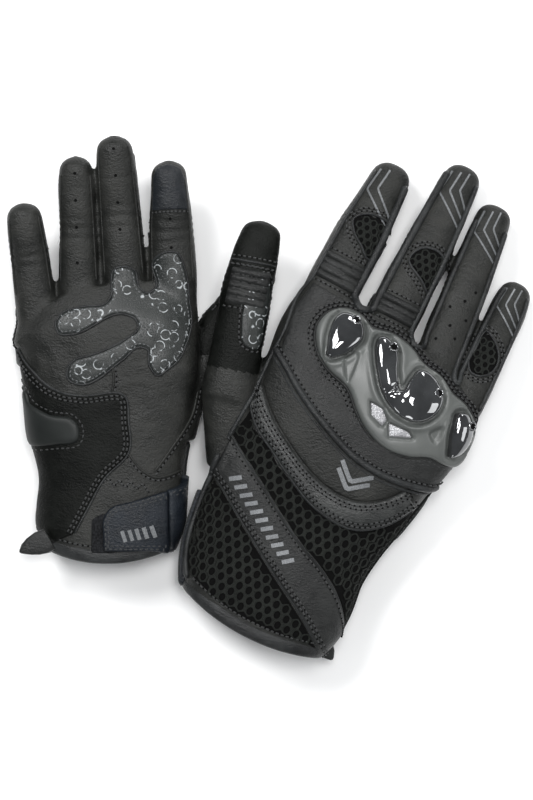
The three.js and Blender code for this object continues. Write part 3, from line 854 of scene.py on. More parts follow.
def grip_print(name):
    """Dark grip sheet with fine silver arcs, broken here and there."""
    f = Finish(name)
    around = f.cells(170, randomness=0.8) - 0.4
    ring = 1 - around.math("ABSOLUTE", around).clip(0.02, 0.05)
    line = ring * f.noise(330, 2.0).clip(0.47, 0.56)
    speck = f.cells(1500).clip(0.1, 0.5)
    base = f.mix(speck, (0.022, 0.0255, 0.0245), (0.012, 0.0142, 0.0135))
    color = f.mix(line, base, (0.34, 0.36, 0.37))
    return f.finish(color, 0.4, speck - line * 0.5, 0.00015, 0.5, specular=0.35)


def printed(name, dark, light):
    f = Finish(name)
    bead = f.cells(2600)
    return f.finish(f.mix(bead.clip(0.1, 0.6), light, dark), 0.42, bead, 0.00006, 0.4, metallic=0.25)


def thread(name, dark, light):
    f = Finish(name)
    ply = f.noise(3600, 2.0, place=f.stretch((1, 1, 0.4), (0.5, 0.2, 0.7)))
    return f.finish(f.mix(ply.clip(0.35, 0.65), dark, light), 0.6, ply, 0.0001, 0.7, sheen=0.15)


MATERIALS = {
    "leather": leather("grained_leather", (0.009, 0.0096, 0.0088), (0.022, 0.0225, 0.0205)),
    "smooth_leather": leather(
        "smooth_leather", (0.009, 0.0094, 0.0095), (0.021, 0.022, 0.0215), 0.43, 0.6, 1.25
    ),
    "panel_leather": leather(
        "panel_leather", (0.009, 0.0095, 0.01), (0.02, 0.0215, 0.022), 0.42, 0.8, 1.15
    ),
    # Darker leather for the thumbs and the heel panel: its dark colour is painted shade where they lie in
    # shadow.
    "shaded_leather": leather(
        "shaded_leather", (0.002, 0.0024, 0.002), (0.007, 0.0078, 0.0068), 0.5, shine=0.1
    ),
    # Paler, shinier leather for the arch panel: its paler colour is a painted highlight.
    "arch_leather": leather(
        "arch_leather", (0.013, 0.014, 0.0136), (0.036, 0.038, 0.037), 0.36, 0.8, 1.15, 0.4
    ),
    "strap_leather": leather(
        "strap_leather", (0.005, 0.0068, 0.0095), (0.012, 0.0155, 0.021), 0.42, 1.0, 1.1
    ),
    "touch_leather": leather(
        "touch_leather", (0.008, 0.0095, 0.0115), (0.015, 0.0175, 0.021), 0.4, 0.2, 1.6
    ),
    "piping_leather": leather(
        "piping_leather", (0.011, 0.0115, 0.012), (0.026, 0.028, 0.0285), 0.38, 0.5, 1.4
    ),
    "moulded": moulded("moulded_guard", (0.068, 0.073, 0.07), (0.105, 0.111, 0.106)),
    "rubber": moulded("moulded_slider", (0.006, 0.0072, 0.0068), (0.014, 0.0162, 0.0155), 0.4, 0.22),
    "polished": polished("smoked_caps"),
    "spacer": knit("spacer_mesh", (0.005, 0.0057, 0.005), (0.018, 0.02, 0.0178)),
    # Near-black backing under the spacer mesh: its own dark fabric, made darker still as painted shade seen
    # through the mesh holes.
    "backing": knit("mesh_backing", (0.0004, 0.0004, 0.0004), (0.0015, 0.0015, 0.0015), 0.7, 0.95),
    "silver": silver_mesh("silver_mesh"),
    "grip": grip_print("grip_print"),
    "print": printed("reflective_print", (0.1, 0.105, 0.11), (0.22, 0.23, 0.24)),
    "thread": thread("dark_thread", (0.006, 0.0065, 0.007), (0.03, 0.032, 0.033)),
    "pale_thread": thread("grey_thread", (0.05, 0.052, 0.055), (0.14, 0.145, 0.15)),
    # Near black, far darker than the lining: painted shade inside punched holes, needle holes and screw
    # sockets.
    "hole": knit("hole_lining", (0.0005, 0.0005, 0.0005), (0.0015, 0.0015, 0.0015), 0.5, 0.95),
    "lining": knit("knit_lining", (0.004, 0.004, 0.0045), (0.014, 0.014, 0.016), 0.6, 0.85),
    "pile": knit("looped_pile", (0.002, 0.002, 0.0025), (0.02, 0.021, 0.023), 0.5, 0.92),
}

# What each kind of piece is made of, and its slot in the record.
KINDS = {
    "piping": ("piping_leather", "leather"),
    "side_seam": ("leather", "leather"), "cuff_binding": ("piping_leather", "leather"),
    "ribs": ("smooth_leather", "panel_leather"), "knuckle_panel": ("smooth_leather", "panel_leather"),
    # The arch panel's paler leather is a painted highlight.
    "arch_panel": ("arch_leather", "panel_leather"), "inner_arch": ("leather", "panel_leather"),
    # The heel panel's darker leather is painted shade.
    "wrist_band": ("smooth_leather", "panel_leather"), "heel_panel": ("shaded_leather", "panel_leather"),
    "closure_strap": (
        "strap_leather", "panel_leather"
    ), "strap_anchor": ("strap_leather", "panel_leather"),
    "pull_tab": ("smooth_leather", "panel_leather"), "touch_tip": ("touch_leather", "panel_leather"),
    "loop_patch": ("pile", "hook_and_loop"), "palm_slider": ("rubber", "moulded_plastic"),
    "knuckle_guard": ("moulded", "moulded_plastic"), "index_knuckle_cap": ("polished", "polished_cap"),
    "centre_knuckle_cap": (
        "polished", "polished_cap"
    ), "little_knuckle_cap": ("polished", "polished_cap"),
    "cap_screws": ("polished", "polished_cap"), "screw_sockets": ("hole", "polished_cap"),
    "vent_screen": (
        "silver", "silver_mesh"
    ), "grip_patch": ("grip", "grip_patch"), "thumb_grip": ("grip", "grip_patch"),
    "mesh_backing": (
        "backing", "lining"
    ), "spacer_mesh": ("spacer", "lining"), "wide_mesh": ("spacer", "lining"),
    "perforations": ("hole", "leather"), "needle_holes": ("hole", "leather"),
    "stitching": ("thread", "leather"), "pale_stitching": ("pale_thread", "grip_patch"),
    "print": ("print", "leather"),
}


def bead(length, width, height):
    """A stitch: a short rounded bar."""
    angle = np.arange(6) / 6 * 2 * np.pi
    at = np.array([-1, -0.8, 0, 0.8, 1]) * length / 2
    size = np.array([0.35, 0.85, 1, 0.85, 0.35])
    rings = np.stack([
        np.repeat(at[:, None], 6, axis=1),
        size[:, None] * np.cos(angle) * width / 2,
        size[:, None] * np.sin(angle) * height / 2,
    ], axis=-1)
    return tube_of(rings)


def mesh_cell(pitch, hole_wide, hole_long, tall=0.9, corners=18):
    """One six-sided cell of spacer mesh, closed, with an oval hole through it."""
    angle = (np.arange(corners) + 0.5) / corners * 2 * np.pi
    reach = pitch / 2 / np.cos((angle + np.pi / 6) % (np.pi / 3) - np.pi / 6)
    outer = np.stack([np.cos(angle) * reach, np.sin(angle) * reach], axis=1)
    inner = np.stack([np.cos(angle) * hole_wide / 2, np.sin(angle) * hole_long / 2], axis=1)
    middle = (outer + 5 * inner) / 6
    loops = [(outer, -tall), (outer, 0), (middle, 0.03 * tall), (inner, -0.4 * tall), (inner, -tall)]
    points = np.vstack([np.c_[flat, np.full(corners, z)] for flat, z in loops])
    faces = []
    for r in range(len(loops)):
        below = (r + 1) % len(loops)
        for i in range(corners):
            j = (i + 1) % corners
            faces.append([r * corners + i, r * corners + j, below * corners + j, below * corners + i])
    return points, faces


def pit(length, width, depth=0.6, sides=8):
    """A punched hole: a short plug that stands just proud of the leather; its near-black colour is painted
    shade for the hole's depth.
    """
    angle = np.arange(sides) / sides * 2 * np.pi
    outline = np.c_[np.cos(angle) * length / 2, np.sin(angle) * width / 2]
    rings = np.stack(
        [np.c_[outline * size, np.full(sides, z)] for size, z in ((1, -depth), (1, 0.1), (0.6, 0.06))]
    )
    return tube_of(rings)


REPEATS = {
    "stitching": bead(1.6, 0.75, 0.8), "pale_stitching": bead(1.3, 0.6, 0.6), "needle_holes": pit(
        1.05, 0.95, sides=6
    ),
    "perforations": pit(1.5, 1.5, sides=12), "spacer_mesh": mesh_cell(FINGER_PITCH, 2.2, 2.7, 0.8),
    "wide_mesh": mesh_cell(WIDE_PITCH, 2.9, 3.9, 1.0),
}


def repeat_tree():
    """Sets a small piece on every point, with its x axis along ahead and its z axis along up."""
    tree = bpy.data.node_groups.new("set_on_points", "GeometryNodeTree")
    for name, kind in (("Points", "Geometry"), ("Piece", "Object"), ("Finish", "Material")):
        tree.interface.new_socket(name, in_out="INPUT", socket_type=f"NodeSocket{kind}")
    tree.interface.new_socket("Result", in_out="OUTPUT", socket_type="NodeSocketGeometry")
    g = Graph(tree)
    given = tree.nodes.new("NodeGroupInput")
    points, piece, finish = (Value(g, given.outputs[i]) for i in range(3))
    ahead = g.node("GeometryNodeInputNamedAttribute", {"data_type": "FLOAT_VECTOR"}, {"Name": "ahead"})
    up = g.node("GeometryNodeInputNamedAttribute", {"data_type": "FLOAT_VECTOR"}, {"Name": "up"})
    axes = {"primary_axis": "X", "secondary_axis": "Z"}
    turn = g.node("FunctionNodeAxesToRotation", axes, {"Primary Axis": ahead, "Secondary Axis": up})
    shape = g.node(
        "GeometryNodeObjectInfo", {}, {"Object": piece, "As Instance": True}, output="Geometry"
    )
    placed = {"Points": points, "Instance": shape, "Rotation": turn}
    many = g.node("GeometryNodeInstanceOnPoints", {}, placed)
    real = g.node("GeometryNodeRealizeInstances", {}, {"Geometry": many})
    done = g.node("GeometryNodeSetMaterial", {}, {"Geometry": real, "Material": finish})
    tree.links.new(done.socket, tree.nodes.new("NodeGroupOutput").inputs[0])
    return tree


def repeat_on(glove, name, kind, marks, tree):
    """One kind of small piece set on every mark, as a plain mesh object."""
    place, ahead, up = (np.vstack(parts) for parts in zip(*marks))
    obj = new_mesh("points", glove.world(place), [])
    for axis, vectors in (("ahead", ahead), ("up", up)):
        attribute = obj.data.attributes.new(axis, "FLOAT_VECTOR", "POINT")
        attribute.data.foreach_set("vector", (vectors @ glove.turn.T).ravel())
    points, faces = REPEATS[kind]
    small = new_mesh("small", points * MM, faces)
    modifier = obj.modifiers.new("repeat", "NODES")
    modifier.node_group = tree
    given = {item.name: item.identifier for item in tree.interface.items_tree if item.in_out == "INPUT"}
    modifier[given["Piece"]] = small
    modifier[given["Finish"]] = MATERIALS[KINDS[kind][0]]
    mesh = applied(obj)
    bpy.data.objects.remove(small)
    made = bpy.data.objects.new(name, mesh)
    bpy.context.scene.collection.objects.link(made)
    return made


def mesh_patch(glove, kind, outline, side, pitch, soft=True):
    """Spacer mesh inside an outline: a near-black backing, partly its own dark fabric and partly painted
    shade seen through the holes, and a sheet of six-sided cells.
    """
    loop = even(outline, 1.0, closed=True, soft=soft)
    panel(
        glove, "mesh_backing", outline, side, lambda u, v, d: 0.25 + 0 * d, spacing=2.4, soft=soft,
        skin=False
    )
    low, high = loop.min(axis=0), loop.max(axis=0)
    rows = np.arange(low[1], high[1], pitch * 0.866)
    flat = np.array(
        [
            (x + (j % 2) * pitch / 2, y) for j,
            y in enumerate(rows) for x in np.arange(low[0], high[0], pitch)
        ]
    )
    flat = flat[distance_to(flat, loop) > 0.3 * pitch]
    place, normal = glove.surface(flat, side, skin=False)
    ahead = unit(np.cross(np.cross(normal, (1.0, 0, 0)), normal))
    mark(glove, kind, place + normal * MESH_LIFT, ahead, normal)


def line_distance(u, v, a, b):
    """Distance from flat points to the segment from a to b."""
    a, b = np.array(a, float), np.array(b, float)
    p = np.stack([u, v], axis=-1) - a
    t = np.clip((p @ (b - a)) / ((b - a) @ (b - a)), 0, 1)
    return np.linalg.norm(p - t[..., None] * (b - a), axis=-1)


def strip(glove, kind, line, side, width, thick=0.16, soft=False):
    """A thin flat strip, such as a printed line, along a flat line."""
    path = even(line, 1.2, soft=soft)
    outline = np.vstack([beside(path, width / 2), beside(path, -width / 2)[::-1]])
    panel(
        glove, kind, outline, side, lambda u, v, d: thick + 0 * d, spacing=width, edge=0.1, sink=0.3,
        soft=False, lip=1.0
    )


def knuckle_guard(glove):
    squeeze = 0.92 if glove.fit[0] < 1 else 1
    p = lambda outline: glove.pattern(outline) * (squeeze, 1)
    caps = {name: even(p(outline), 1.0, closed=True) for name, outline in CAPS.items()}
    recesses = [even(p(outline), 0.8, closed=True) for outline in RECESSES]
    def guard_height(u, v, d):
        flat = np.stack([u, v], axis=-1)
        out = GUARD_TALL + 0.5 * rounded(d / 7)
        for loop in caps.values():
            away = -distance_to(flat, loop)
            out = out - 1.9 * smooth((1.1 - away) / 0.9) + 0.5 * np.exp(-(((away - 2.3) / 1.1) ** 2))
        for loop in recesses:
            out = out - 1.6 * smooth((distance_to(flat, loop) + 0.3) / 1.5)
        return out

    slots = [p(slot) for slot in SLOTS]
    panel(
        glove, "knuckle_guard", p(GUARD), BACK, guard_height, 0.85, edge=1.9, holes=slots, skin=False,
        lip=0.3
    )
    for slot in slots:
        panel(
            glove, "vent_screen", grow(slot, 1.1), BACK, lambda u, v, d: 1.7 + 0 * d, 1.2, soft=False,
            skin=False
        )

    def cap_height(u, v, d):
        valley = 1.5 * np.exp(
            -((line_distance(u, v, *p([(15.8, 81), (9, 74)])) / (1.5 * glove.fit[0])) ** 2)
        )
        ridge = 0.8 * np.exp(
            -((line_distance(u, v, *p([(15, 79), (24, 69)])) / (2.4 * glove.fit[0])) ** 2)
        )
        return GUARD_TALL - 1.6 + 2.4 * rounded(d / 1.5) + 3.2 * rounded(d / 7.5) - valley - ridge

    for name, outline in CAPS.items():
        panel(
            glove, f"{name}_knuckle_cap", grow(p(outline), -0.5), BACK, cap_height, 0.7, 0.5, 0.2,
            skin=False, lip=0.4
        )
    for place, normal in zip(*glove.surface(p(SCREWS), BACK, skin=False)):
        turn = np.array(Vector(normal).to_track_quat("Z", "Y").to_matrix())
        angle = np.arange(20) / 20 * 2 * np.pi
        # Each screw head carries a dark disc where its socket is: painted shade.
        for kind, profile in (
            ("cap_screws", ((2.3, 2), (2.5, 7.3), (2.2, 7.8), (1.6, 7.75), (1.4, 7.2))),
            ("screw_sockets", ((1.5, 5), (1.55, 7.5), (0.9, 7.35))),
        ):
            rings = np.stack(
                [np.c_[np.cos(angle) * r, np.sin(angle) * r, np.full(20, z - 0.4)] for r, z in profile]
            )
            points, faces = tube_of(rings)
            glove.add(kind, place + points @ turn.T, faces)


def grow(outline, by):
    """An outline moved outwards by a distance, or inwards if it is negative."""
    loop = np.asarray(outline, float)
    ahead = unit(np.roll(loop, -1, axis=0) - loop)
    behind = np.roll(ahead, 1, axis=0)
    out = unit(np.stack([ahead[:, 1] + behind[:, 1], -ahead[:, 0] - behind[:, 0]], axis=1))
    area = (loop[:, 0] * np.roll(loop[:, 1], -1) - loop[:, 1] * np.roll(loop[:, 0], -1)).sum()
    return loop + out * by * np.sign(area)


def back_panels(glove):
    p = glove.pattern
    edge = p(FLAP_EDGE)
    top = p([(59, 62), (57, 84), (46, 92), (34, 98), (15.6, 100), (-14, 105), (-44, 107), (-46, 92)])
    flap = np.vstack([even(edge, 4)[1:-1], top])

    def flap_height(u, v, d):
        near = np.min([line_distance(u, v, a, b) for a, b in zip(edge[:-1], edge[1:])], axis=0)
        return 0.35 + 1.5 * (1 - smooth(near / 24))

    panel(glove, "knuckle_panel", flap, BACK, flap_height, 1.5, edge=0.8, soft=False)
    cord_along(glove, even(edge + (0, 0.4), 1.0), BACK, 1.75, 0.75, sides=12)
    cord_along(glove, beside(even(edge, 1.0), -2.6), BACK, 0.8, 0.2)
    stitches(glove, edge, BACK, (2.6,), lift=2.05)
    ring = even(p(GUARD), 1.0, closed=True)
    stitches(glove, grow(ring, 1.7), BACK, closed=True, lift=0.9)
    stitches(glove, grow(ring, 3.4), BACK, closed=True, lift=0.9)
    cord_along(
        glove, even(grow(ring, 0.45), 0.9, closed=True), BACK, 0.75, 0.9, "knuckle_panel", closed=True,
        skin=False
    )

    arch = np.vstack([even(p(ARC_INNER), 3), even(p(ARC_OUTER), 3)[::-1]])
    panel(
        glove, "arch_panel", arch, BACK, lambda u, v, d: 0.9 + 1.5 * rounded(d / 6), 1.4, edge=1.2,
        soft=False
    )
    inner = np.vstack([even(p(ARC_INNER), 3) + (0.3, 0.6), even(edge, 3)[::-1] + (0, -0.6)])
    panel(
        glove, "inner_arch", inner, BACK, lambda u, v, d: 0.35 + 0.5 * rounded(d / 7), 1.8, edge=0.8,
        soft=False
    )
    stitches(glove, p(ARC_INNER), BACK, (-1.6, -3.2), lift=2.3)
    stitches(glove, p(ARC_OUTER), BACK, (1.6, 3.2), lift=2.3)
    cord_along(glove, even(p(ARC_OUTER), 1.0), BACK, 0.7, 0.5)

    band = np.vstack([even(p(BAND_LOW), 3), even(p(BAND_HIGH), 3)[::-1]])
    panel(
        glove, "wrist_band", band, BACK, lambda u, v, d: 0.8 + 1.1 * rounded(d / 6), 1.5, edge=1.0,
        soft=False
    )
    stitches(glove, p(BAND_LOW), BACK, (1.5, 3), lift=1.8)
    stitches(glove, p(BAND_HIGH), BACK, (-1.5,), lift=1.7)
    cord_along(glove, even(p(BAND_LOW), 1.0), BACK, 0.55, 0.5)
    cord_along(glove, even(p(BAND_HIGH), 1.0), BACK, 0.55, 0.5)
    middle = even((even(p(BAND_LOW), 3)[:24] + even(p(BAND_HIGH), 3)[:24]) / 2, 4.6 * glove.fit[0])
    bars_on(glove, middle[3:14], BACK, 2.3)

    outer = even(p(ARC_OUTER), 3)
    upper = np.vstack(
        [
            outer[1:] - (0, 0.8), p([(56, 24), (57, 6), (54, -16), (50, -34)]),
            even(p(BAND_HIGH), 3)[::-1] + (0.3, 0.8)
        ]
    )
    mesh_patch(glove, "wide_mesh", upper, BACK, WIDE_PITCH, soft=False)
    lower = np.vstack(
        [
            even(p(BAND_LOW), 3)[:-2] - (0.3, 0.8),
            p([(30, -47.5), (16, -49.5), (0, -50), (-16, -48.6), (-34, -43), (-44, -30), (-46.5, -8)])
        ]
    )
    mesh_patch(glove, "wide_mesh", lower, BACK, WIDE_PITCH, soft=False)
    bound = p([(-47, 14), (-46, 3.4), (-46, -8.9), (-43.5, -24.4), (-39, -36.9), (-33, -46)])
    cord_along(glove, even(bound, 1.0), BACK, 1.5, 0.4, sides=12)
    spot = p([(6.5, 38), (14.5, 30.5), (23.5, 37.5)])
    for shift in (0, 4):
        strip(glove, "print", spot + (0, -shift), BACK, 2.1, thick=1.3)


def bars_on(glove, line, side, lift):
    """A plain row of slanted printed bars along a line."""
    ahead = unit(np.gradient(line, axis=0))
    left = np.stack([-ahead[:, 1], ahead[:, 0]], axis=1)
    for at, fore, out in zip(line, ahead, left):
        ends = np.array([at - out * 2.7 - fore * 1.1, at, at + out * 2.7 + fore * 1.1])
        strip(glove, "print", ends, side, 2.0, thick=lift)


def fingers_back(glove):
    order = ("index", "middle", "ring", "little")
    fingers = glove.fingers
    for key, nextkey in zip(order, order[1:]):
        a, b = side_line(fingers[key], 1), side_line(fingers[nextkey], -1)
        bottom = (a[0] + b[0]) / 2 + (0, -3.4 * glove.fit[1])
        path = np.vstack([a[::-1], bottom, b])
        thick = (1.9 if key == "index" else 1.3) * glove.fit[0]
        cord_along(glove, even(path, 0.9), BACK, thick, 0.35, sides=12)
    outer = [
        (
            fingers["index"], -1,
            [(-47.3, 98), (-45.5, 80), (-45.6, 66), (-45.2, 50), (-45.8, 36), (-46.4, 22)]
        ),
        (fingers["little"], 1, [(56, 88)]),
    ]
    for finger, hand_side, tail in outer:
        path = np.vstack([side_line(finger, hand_side)[::-1], glove.pattern(tail)])
        cord_along(glove, even(path, 0.9), BACK, 1.0, 0.3)
    for key, count in (("index", 4), ("middle", 3), ("thumb", 5)):
        finger_ribs(glove, key, count)
    for key, outline in FINGER_MESH.items():
        fitted = outline_on(glove, key, outline)
        mesh_patch(glove, "spacer_mesh", fitted, BACK, FINGER_PITCH)
        ring = even(fitted, 0.9, closed=True)
        cord_along(glove, ring, BACK, 0.55, 0.7, closed=True)
        stitches(glove, grow(ring, 1.6), BACK, closed=True)
        stitches(glove, grow(ring, 3.0), BACK, closed=True)
    for key in order:
        finger_print(glove, key)
    ring = fingers["ring"]
    total = sum(ring.long)
    for x, y in (
        (-0.45, 0.12), (0.3, 0.16), (-0.1, 0.22), (0.45, 0.28), (-0.4, 0.32), (0.1, 0.38), (0.4, 0.45)
    ):
        punch(glove, ring, x * ring.half[0], y * total, BACK)


def side_line(finger, side, fraction=0.8, first=1.0, last=5.0):
    """The flat line along one side of a finger, from its root to near its tip."""
    s, centre, _ = finger.spine()
    keep = (s > first) & (s < sum(finger.long) - last)
    half = np.interp(
        s, [0, finger.long[0], sum(finger.long) - 8, sum(finger.long)],
        [finger.half[0], finger.half[1], finger.half[2], 0.55 * finger.half[2]]
    )
    across = finger.turn[:2, 0]
    return (centre[:, :2] + side * fraction * half[:, None] * across)[keep][::3]


def on_finger(finger, x, y):
    """The flat point at x across a finger and y along it from its first hinge."""
    s, centre, _ = finger.spine()
    middle = np.array([np.interp(y, s, centre[:, k]) for k in range(2)])
    across = finger.turn[:2, 0] if abs(finger.turn[2, 0]) < 0.5 else -finger.turn[:2, 2]
    return middle + x * across


def outline_on(glove, key, outline):
    """An outline drawn on the larger glove's finger, moved to the same place on this glove's."""
    at, lean, _, _, long, half, _ = BACK_UP["fingers"][key]
    mine = glove.fingers[key]
    turn = turned("Z", -lean)[:2, :2]
    local = (np.array(outline, float) - at[:2]) @ turn
    scale = (mine.half[0] / half[0], sum(mine.long) / sum(long))
    return np.array([on_finger(mine, x * scale[0], y * scale[1] * 1.02) for x, y in local])


def punch(glove, finger, x, y, side):
    flat = on_finger(finger, x, y)[None]
    place, normal = glove.surface(flat, side)
    mark(glove, "perforations", place, unit(np.cross(normal, (0.3, 1.0, 0.1))), normal)


def finger_ribs(glove, key, count):
    """Padded folds across the back of a finger, with a stitched seam above and below."""
    finger = glove.fingers[key]
    pitch = 3.5 * glove.fit[1]
    start = finger.long[0] - 8 if key == "thumb" else 2.5
    reach = (finger.deep if key == "thumb" else finger.half[0]) * 0.76
    stop = start + count * pitch
    corners = [
        on_finger(finger, x, y) for x,
        y in ((-reach, start), (reach, start), (reach, stop), (-reach, stop))
    ]
    base, tip = on_finger(finger, 0, start), on_finger(finger, 0, stop)
    ahead = (tip - base) / np.linalg.norm(tip - base)

    def folds(u, v, d):
        along = (np.stack([u, v], axis=-1) - base) @ ahead
        return 0.25 + 1.15 * np.abs(np.sin(np.pi * np.clip(along, 0, None) / pitch)) ** 0.7

    outline = even(corners, 1.5, closed=True, soft=False)
    panel(glove, "ribs", outline, BACK, folds, 0.62, edge=1.4, soft=False, lip=0.15)
    for y in (start - 1.6, stop + 1.5):
        line = [on_finger(finger, x * reach, y) for x in (-1, -0.5, 0, 0.5, 1)]
        stitches(glove, line, BACK)


def finger_print(glove, key):
    """Three bent reflective lines on the end of a finger, or two on the index finger."""
    finger = glove.fingers[key]
    total, scale = sum(finger.long), finger.half[2] / 9.2
    for k in range(2 if key == "index" else 3):
        points = (
            (-5.8 + 3.9 * k, -5.6 + 1.2 * k), (-7.2 + 4.2 * k, -17.9 + 2.4 * k), (8.6, -31 + 4.4 * k)
        )
        line = [on_finger(finger, x * scale, total + y * scale) for x, y in points]
        strip(glove, "print", line, BACK, 0.85 * scale)


def palm_panels(glove):
    p = glove.pattern
    grip = even(p(GRIP), 1.6, closed=True)
    panel(
        glove, "grip_patch", grip, PALM, lambda u, v, d: 0.75 + 0.25 * rounded(d / 4), 1.3, edge=0.7,
        soft=False
    )
    stitches(glove, grow(grip, -1.3), PALM, closed=True, lift=0.8, kind="pale_stitching", pitch=2)
    cord_along(glove, even(grow(grip, 0.3), 1.0, closed=True), PALM, 0.6, 0.4, closed=True)
    heel = np.vstack(
        [even(p(HEEL_EDGE), 3), p([(32, -47), (45, -46), (55, -30), (57, 0), (60, 30), (61, 66)])]
    )
    panel(
        glove, "heel_panel", heel, PALM, lambda u, v, d: 0.7 + 0.9 * rounded(d / 7), 1.8, edge=0.9,
        soft=False
    )
    stitches(glove, p(HEEL_EDGE), PALM, (1.4, 3), lift=1.5)
    cord_along(glove, even(p(HEEL_EDGE), 1.0), PALM, 0.6, 0.5)

    def slider_height(u, v, d):
        return 1.9 + 1.1 * rounded(d / 3.2)

    slider = even(p(SLIDER), 1.6, closed=True)
    panel(
        glove, "palm_slider", slider, PALM, slider_height, 1.2, edge=1.1, soft=False, skin=False, lip=0.35
    )
    stitches(glove, grow(slider, 1.6), PALM, closed=True, lift=1.5)
    for seam in (
        [(-3.2, 42), (-4.6, 50), (-3.4, 60)], [(-26.5, -4), (-37, 12), (-47, 30), (-50, 44)],
        [(-12.6, 7), (-19, -2), (-26.5, -7), (-42, -3)]
    ):
        line = p(seam)
        cord_along(glove, even(line, 1.0), PALM, 0.6, 0.25, "side_seam")
        stitches(glove, line, PALM, (1.3,), lift=0.15)
    zigzag = p([(2 - 3.1 * i, -9.5 - 0.5 * i + (2.2 if i % 2 else -1.2)) for i in range(9)])
    stitches(glove, zigzag, PALM, pitch=1.9, soft=False)


def strap(glove):
    """The closure strap, its sewn-down anchor and the patch that it grips."""
    p = glove.pattern
    hinge_x = (joint_local(glove, f"{glove.name}_strap_peel"))[0]
    whole = even(p(STRAP), 1.6, closed=True)
    panel(
        glove, "loop_patch", p(LOOP_PATCH), PALM, lambda u, v, d: 0.9 + 0 * d, 1.4, soft=False, skin=False
    )

    def clipped(keep):
        loop = []
        for a, b in zip(whole, np.roll(whole, -1, axis=0)):
            inside, beyond = keep * (a[0] - hinge_x) > 0.2, keep * (b[0] - hinge_x) > 0.2
            if inside:
                loop.append(a)
            if inside != beyond:
                t = (hinge_x + keep * 0.2 - a[0]) / (b[0] - a[0])
                loop.append(a + t * (b - a))
        return np.array(loop)

    thick = lambda u, v, d: 2.9 + 0.35 * rounded(d / 3)
    free, fixed = clipped(1), clipped(-1)
    panel(
        glove, "strap:closure_strap", free, PALM, thick, 1.5, edge=0.9, sink=-1.4, soft=False, skin=False,
        lip=0.5
    )
    panel(
        glove, "strap_anchor", fixed, PALM, thick, 1.5, edge=0.9, sink=0.5, soft=False, skin=False,
        lip=0.5
    )
    inner = grow(whole, -1.3)
    for row in (0, -1.5):
        path = even(grow(inner, row), 2.3, closed=True, soft=False)
        for keep, kind in ((1, "strap:stitching"), (-1, "stitching")):
            flat = path[keep * (path[:, 0] - hinge_x) > 1.2]
            place, normal = glove.surface(flat, PALM, skin=False)
            ahead = unit(np.gradient(place, axis=0))
            mark(glove, kind, place + normal * 3.1, ahead, normal)
    bars = p([(-25 + 3.8 * i, -38.6 - 0.7 * i) for i in range(5)])
    for at in bars:
        strip(glove, "strap:print", [at + (-0.8, -2.6), at, at + (0.8, 2.6)], PALM, 1.8, thick=3.75)


def joint_local(glove, name):
    return (np.array(joints[name]["pos_m"]) / MM - glove.origin) @ glove.turn


def fingers_palm(glove):
    fingers = glove.fingers
    for key, finger in fingers.items():
        if key == "thumb":
            continue
        for side in (-1, 1):
            line = side_line(finger, side, 0.86, 3)
            cord_along(glove, even(line, 1.0), PALM, 0.5, 0.2, "side_seam")
    for key, places in (
        ("index", (0.32, 0.54)), ("middle", (0.36, 0.54, 0.72, 0.9)), ("ring", (0.2, 0.46, 0.66, 0.86))
    ):
        for y in places:
            punch(glove, fingers[key], 0, y * sum(fingers[key].long), PALM)
    index = fingers["index"]
    total = sum(index.long)
    corners = (
        (-0.82, 0.61), (0.82, 0.61), (0.8, 0.8), (0.56, 0.93), (0, 0.97), (-0.56, 0.93), (-0.8, 0.8)
    )
    tip = [on_finger(index, x * index.half[1], y * total) for x, y in corners]
    panel(glove, "touch_tip", tip, PALM, lambda u, v, d: 0.35 + 0 * d, 1.4, edge=0.7, soft=False)
    stitches(
        glove, [on_finger(index, x * index.half[1], 0.61 * total - 1) for x in (-0.8, -0.4, 0, 0.4, 0.8)],
        PALM, pitch=1.9
    )


def thumb_details(glove):
    thumb = glove.fingers["thumb"]
    total = sum(thumb.long)
    for side in (BACK, PALM):
        for y in (0.66, 0.72):
            line = [on_finger(thumb, x * thumb.deep, y * total) for x in (-0.8, -0.4, 0, 0.4, 0.8)]
            stitches(glove, line, side)
        cord_along(
            glove,
            even(
                [on_finger(thumb, x * thumb.deep, 0.69 * total) for x in (-0.86, -0.4, 0, 0.4, 0.86)], 0.9
            ),
            side, 0.55, 0.3
        )
    patch = [
        on_finger(thumb, x * thumb.deep, y * total)
        for x, y in (
            (0.3, 0.1), (0.72, 0.08), (0.9, 0.3), (0.88, 0.5), (0.6, 0.62), (0.2, 0.56), (0.02, 0.4),
            (0.04, 0.24)
        )
    ]
    panel(glove, "thumb_grip", patch, BACK, lambda u, v, d: 0.6 + 0 * d, 1.2, edge=0.7)
    stitches(glove, grow(even(patch, 1.0, closed=True), 1.2), BACK, closed=True)


def cuff(glove):
    """The rolled binding round the mouth."""
    ring = glove.hand_rings(120)[0]
    ahead = unit(np.roll(ring, -1, axis=0) - np.roll(ring, 1, axis=0))
    x, _, z, _ = glove.section(glove.hand[:1, 0])
    out = unit((ring - (x[0], 0, z[0])) * (1, 0, 1))
    side = unit(np.cross(ahead, out))
    angle = np.arange(14) / 14 * 2 * np.pi
    c, n = squircle(angle, 2.6)
    rings = ring[:, None] + (1.7 * c[:, None] - 0.6) * out[:, None] + 3.4 * n[:, None] * side[:, None]
    rings[..., 1] += 2
    glove.add_tube("cuff_binding", rings, closed=True)
    for face in (BACK, PALM):
        line = ring[ring[:, 2] * face > z[0] * face][:, :2] + (0, 6.6)
        line = line[np.argsort(line[:, 0])]
        stitches(glove, line[8:-8], face, lift=0.15)


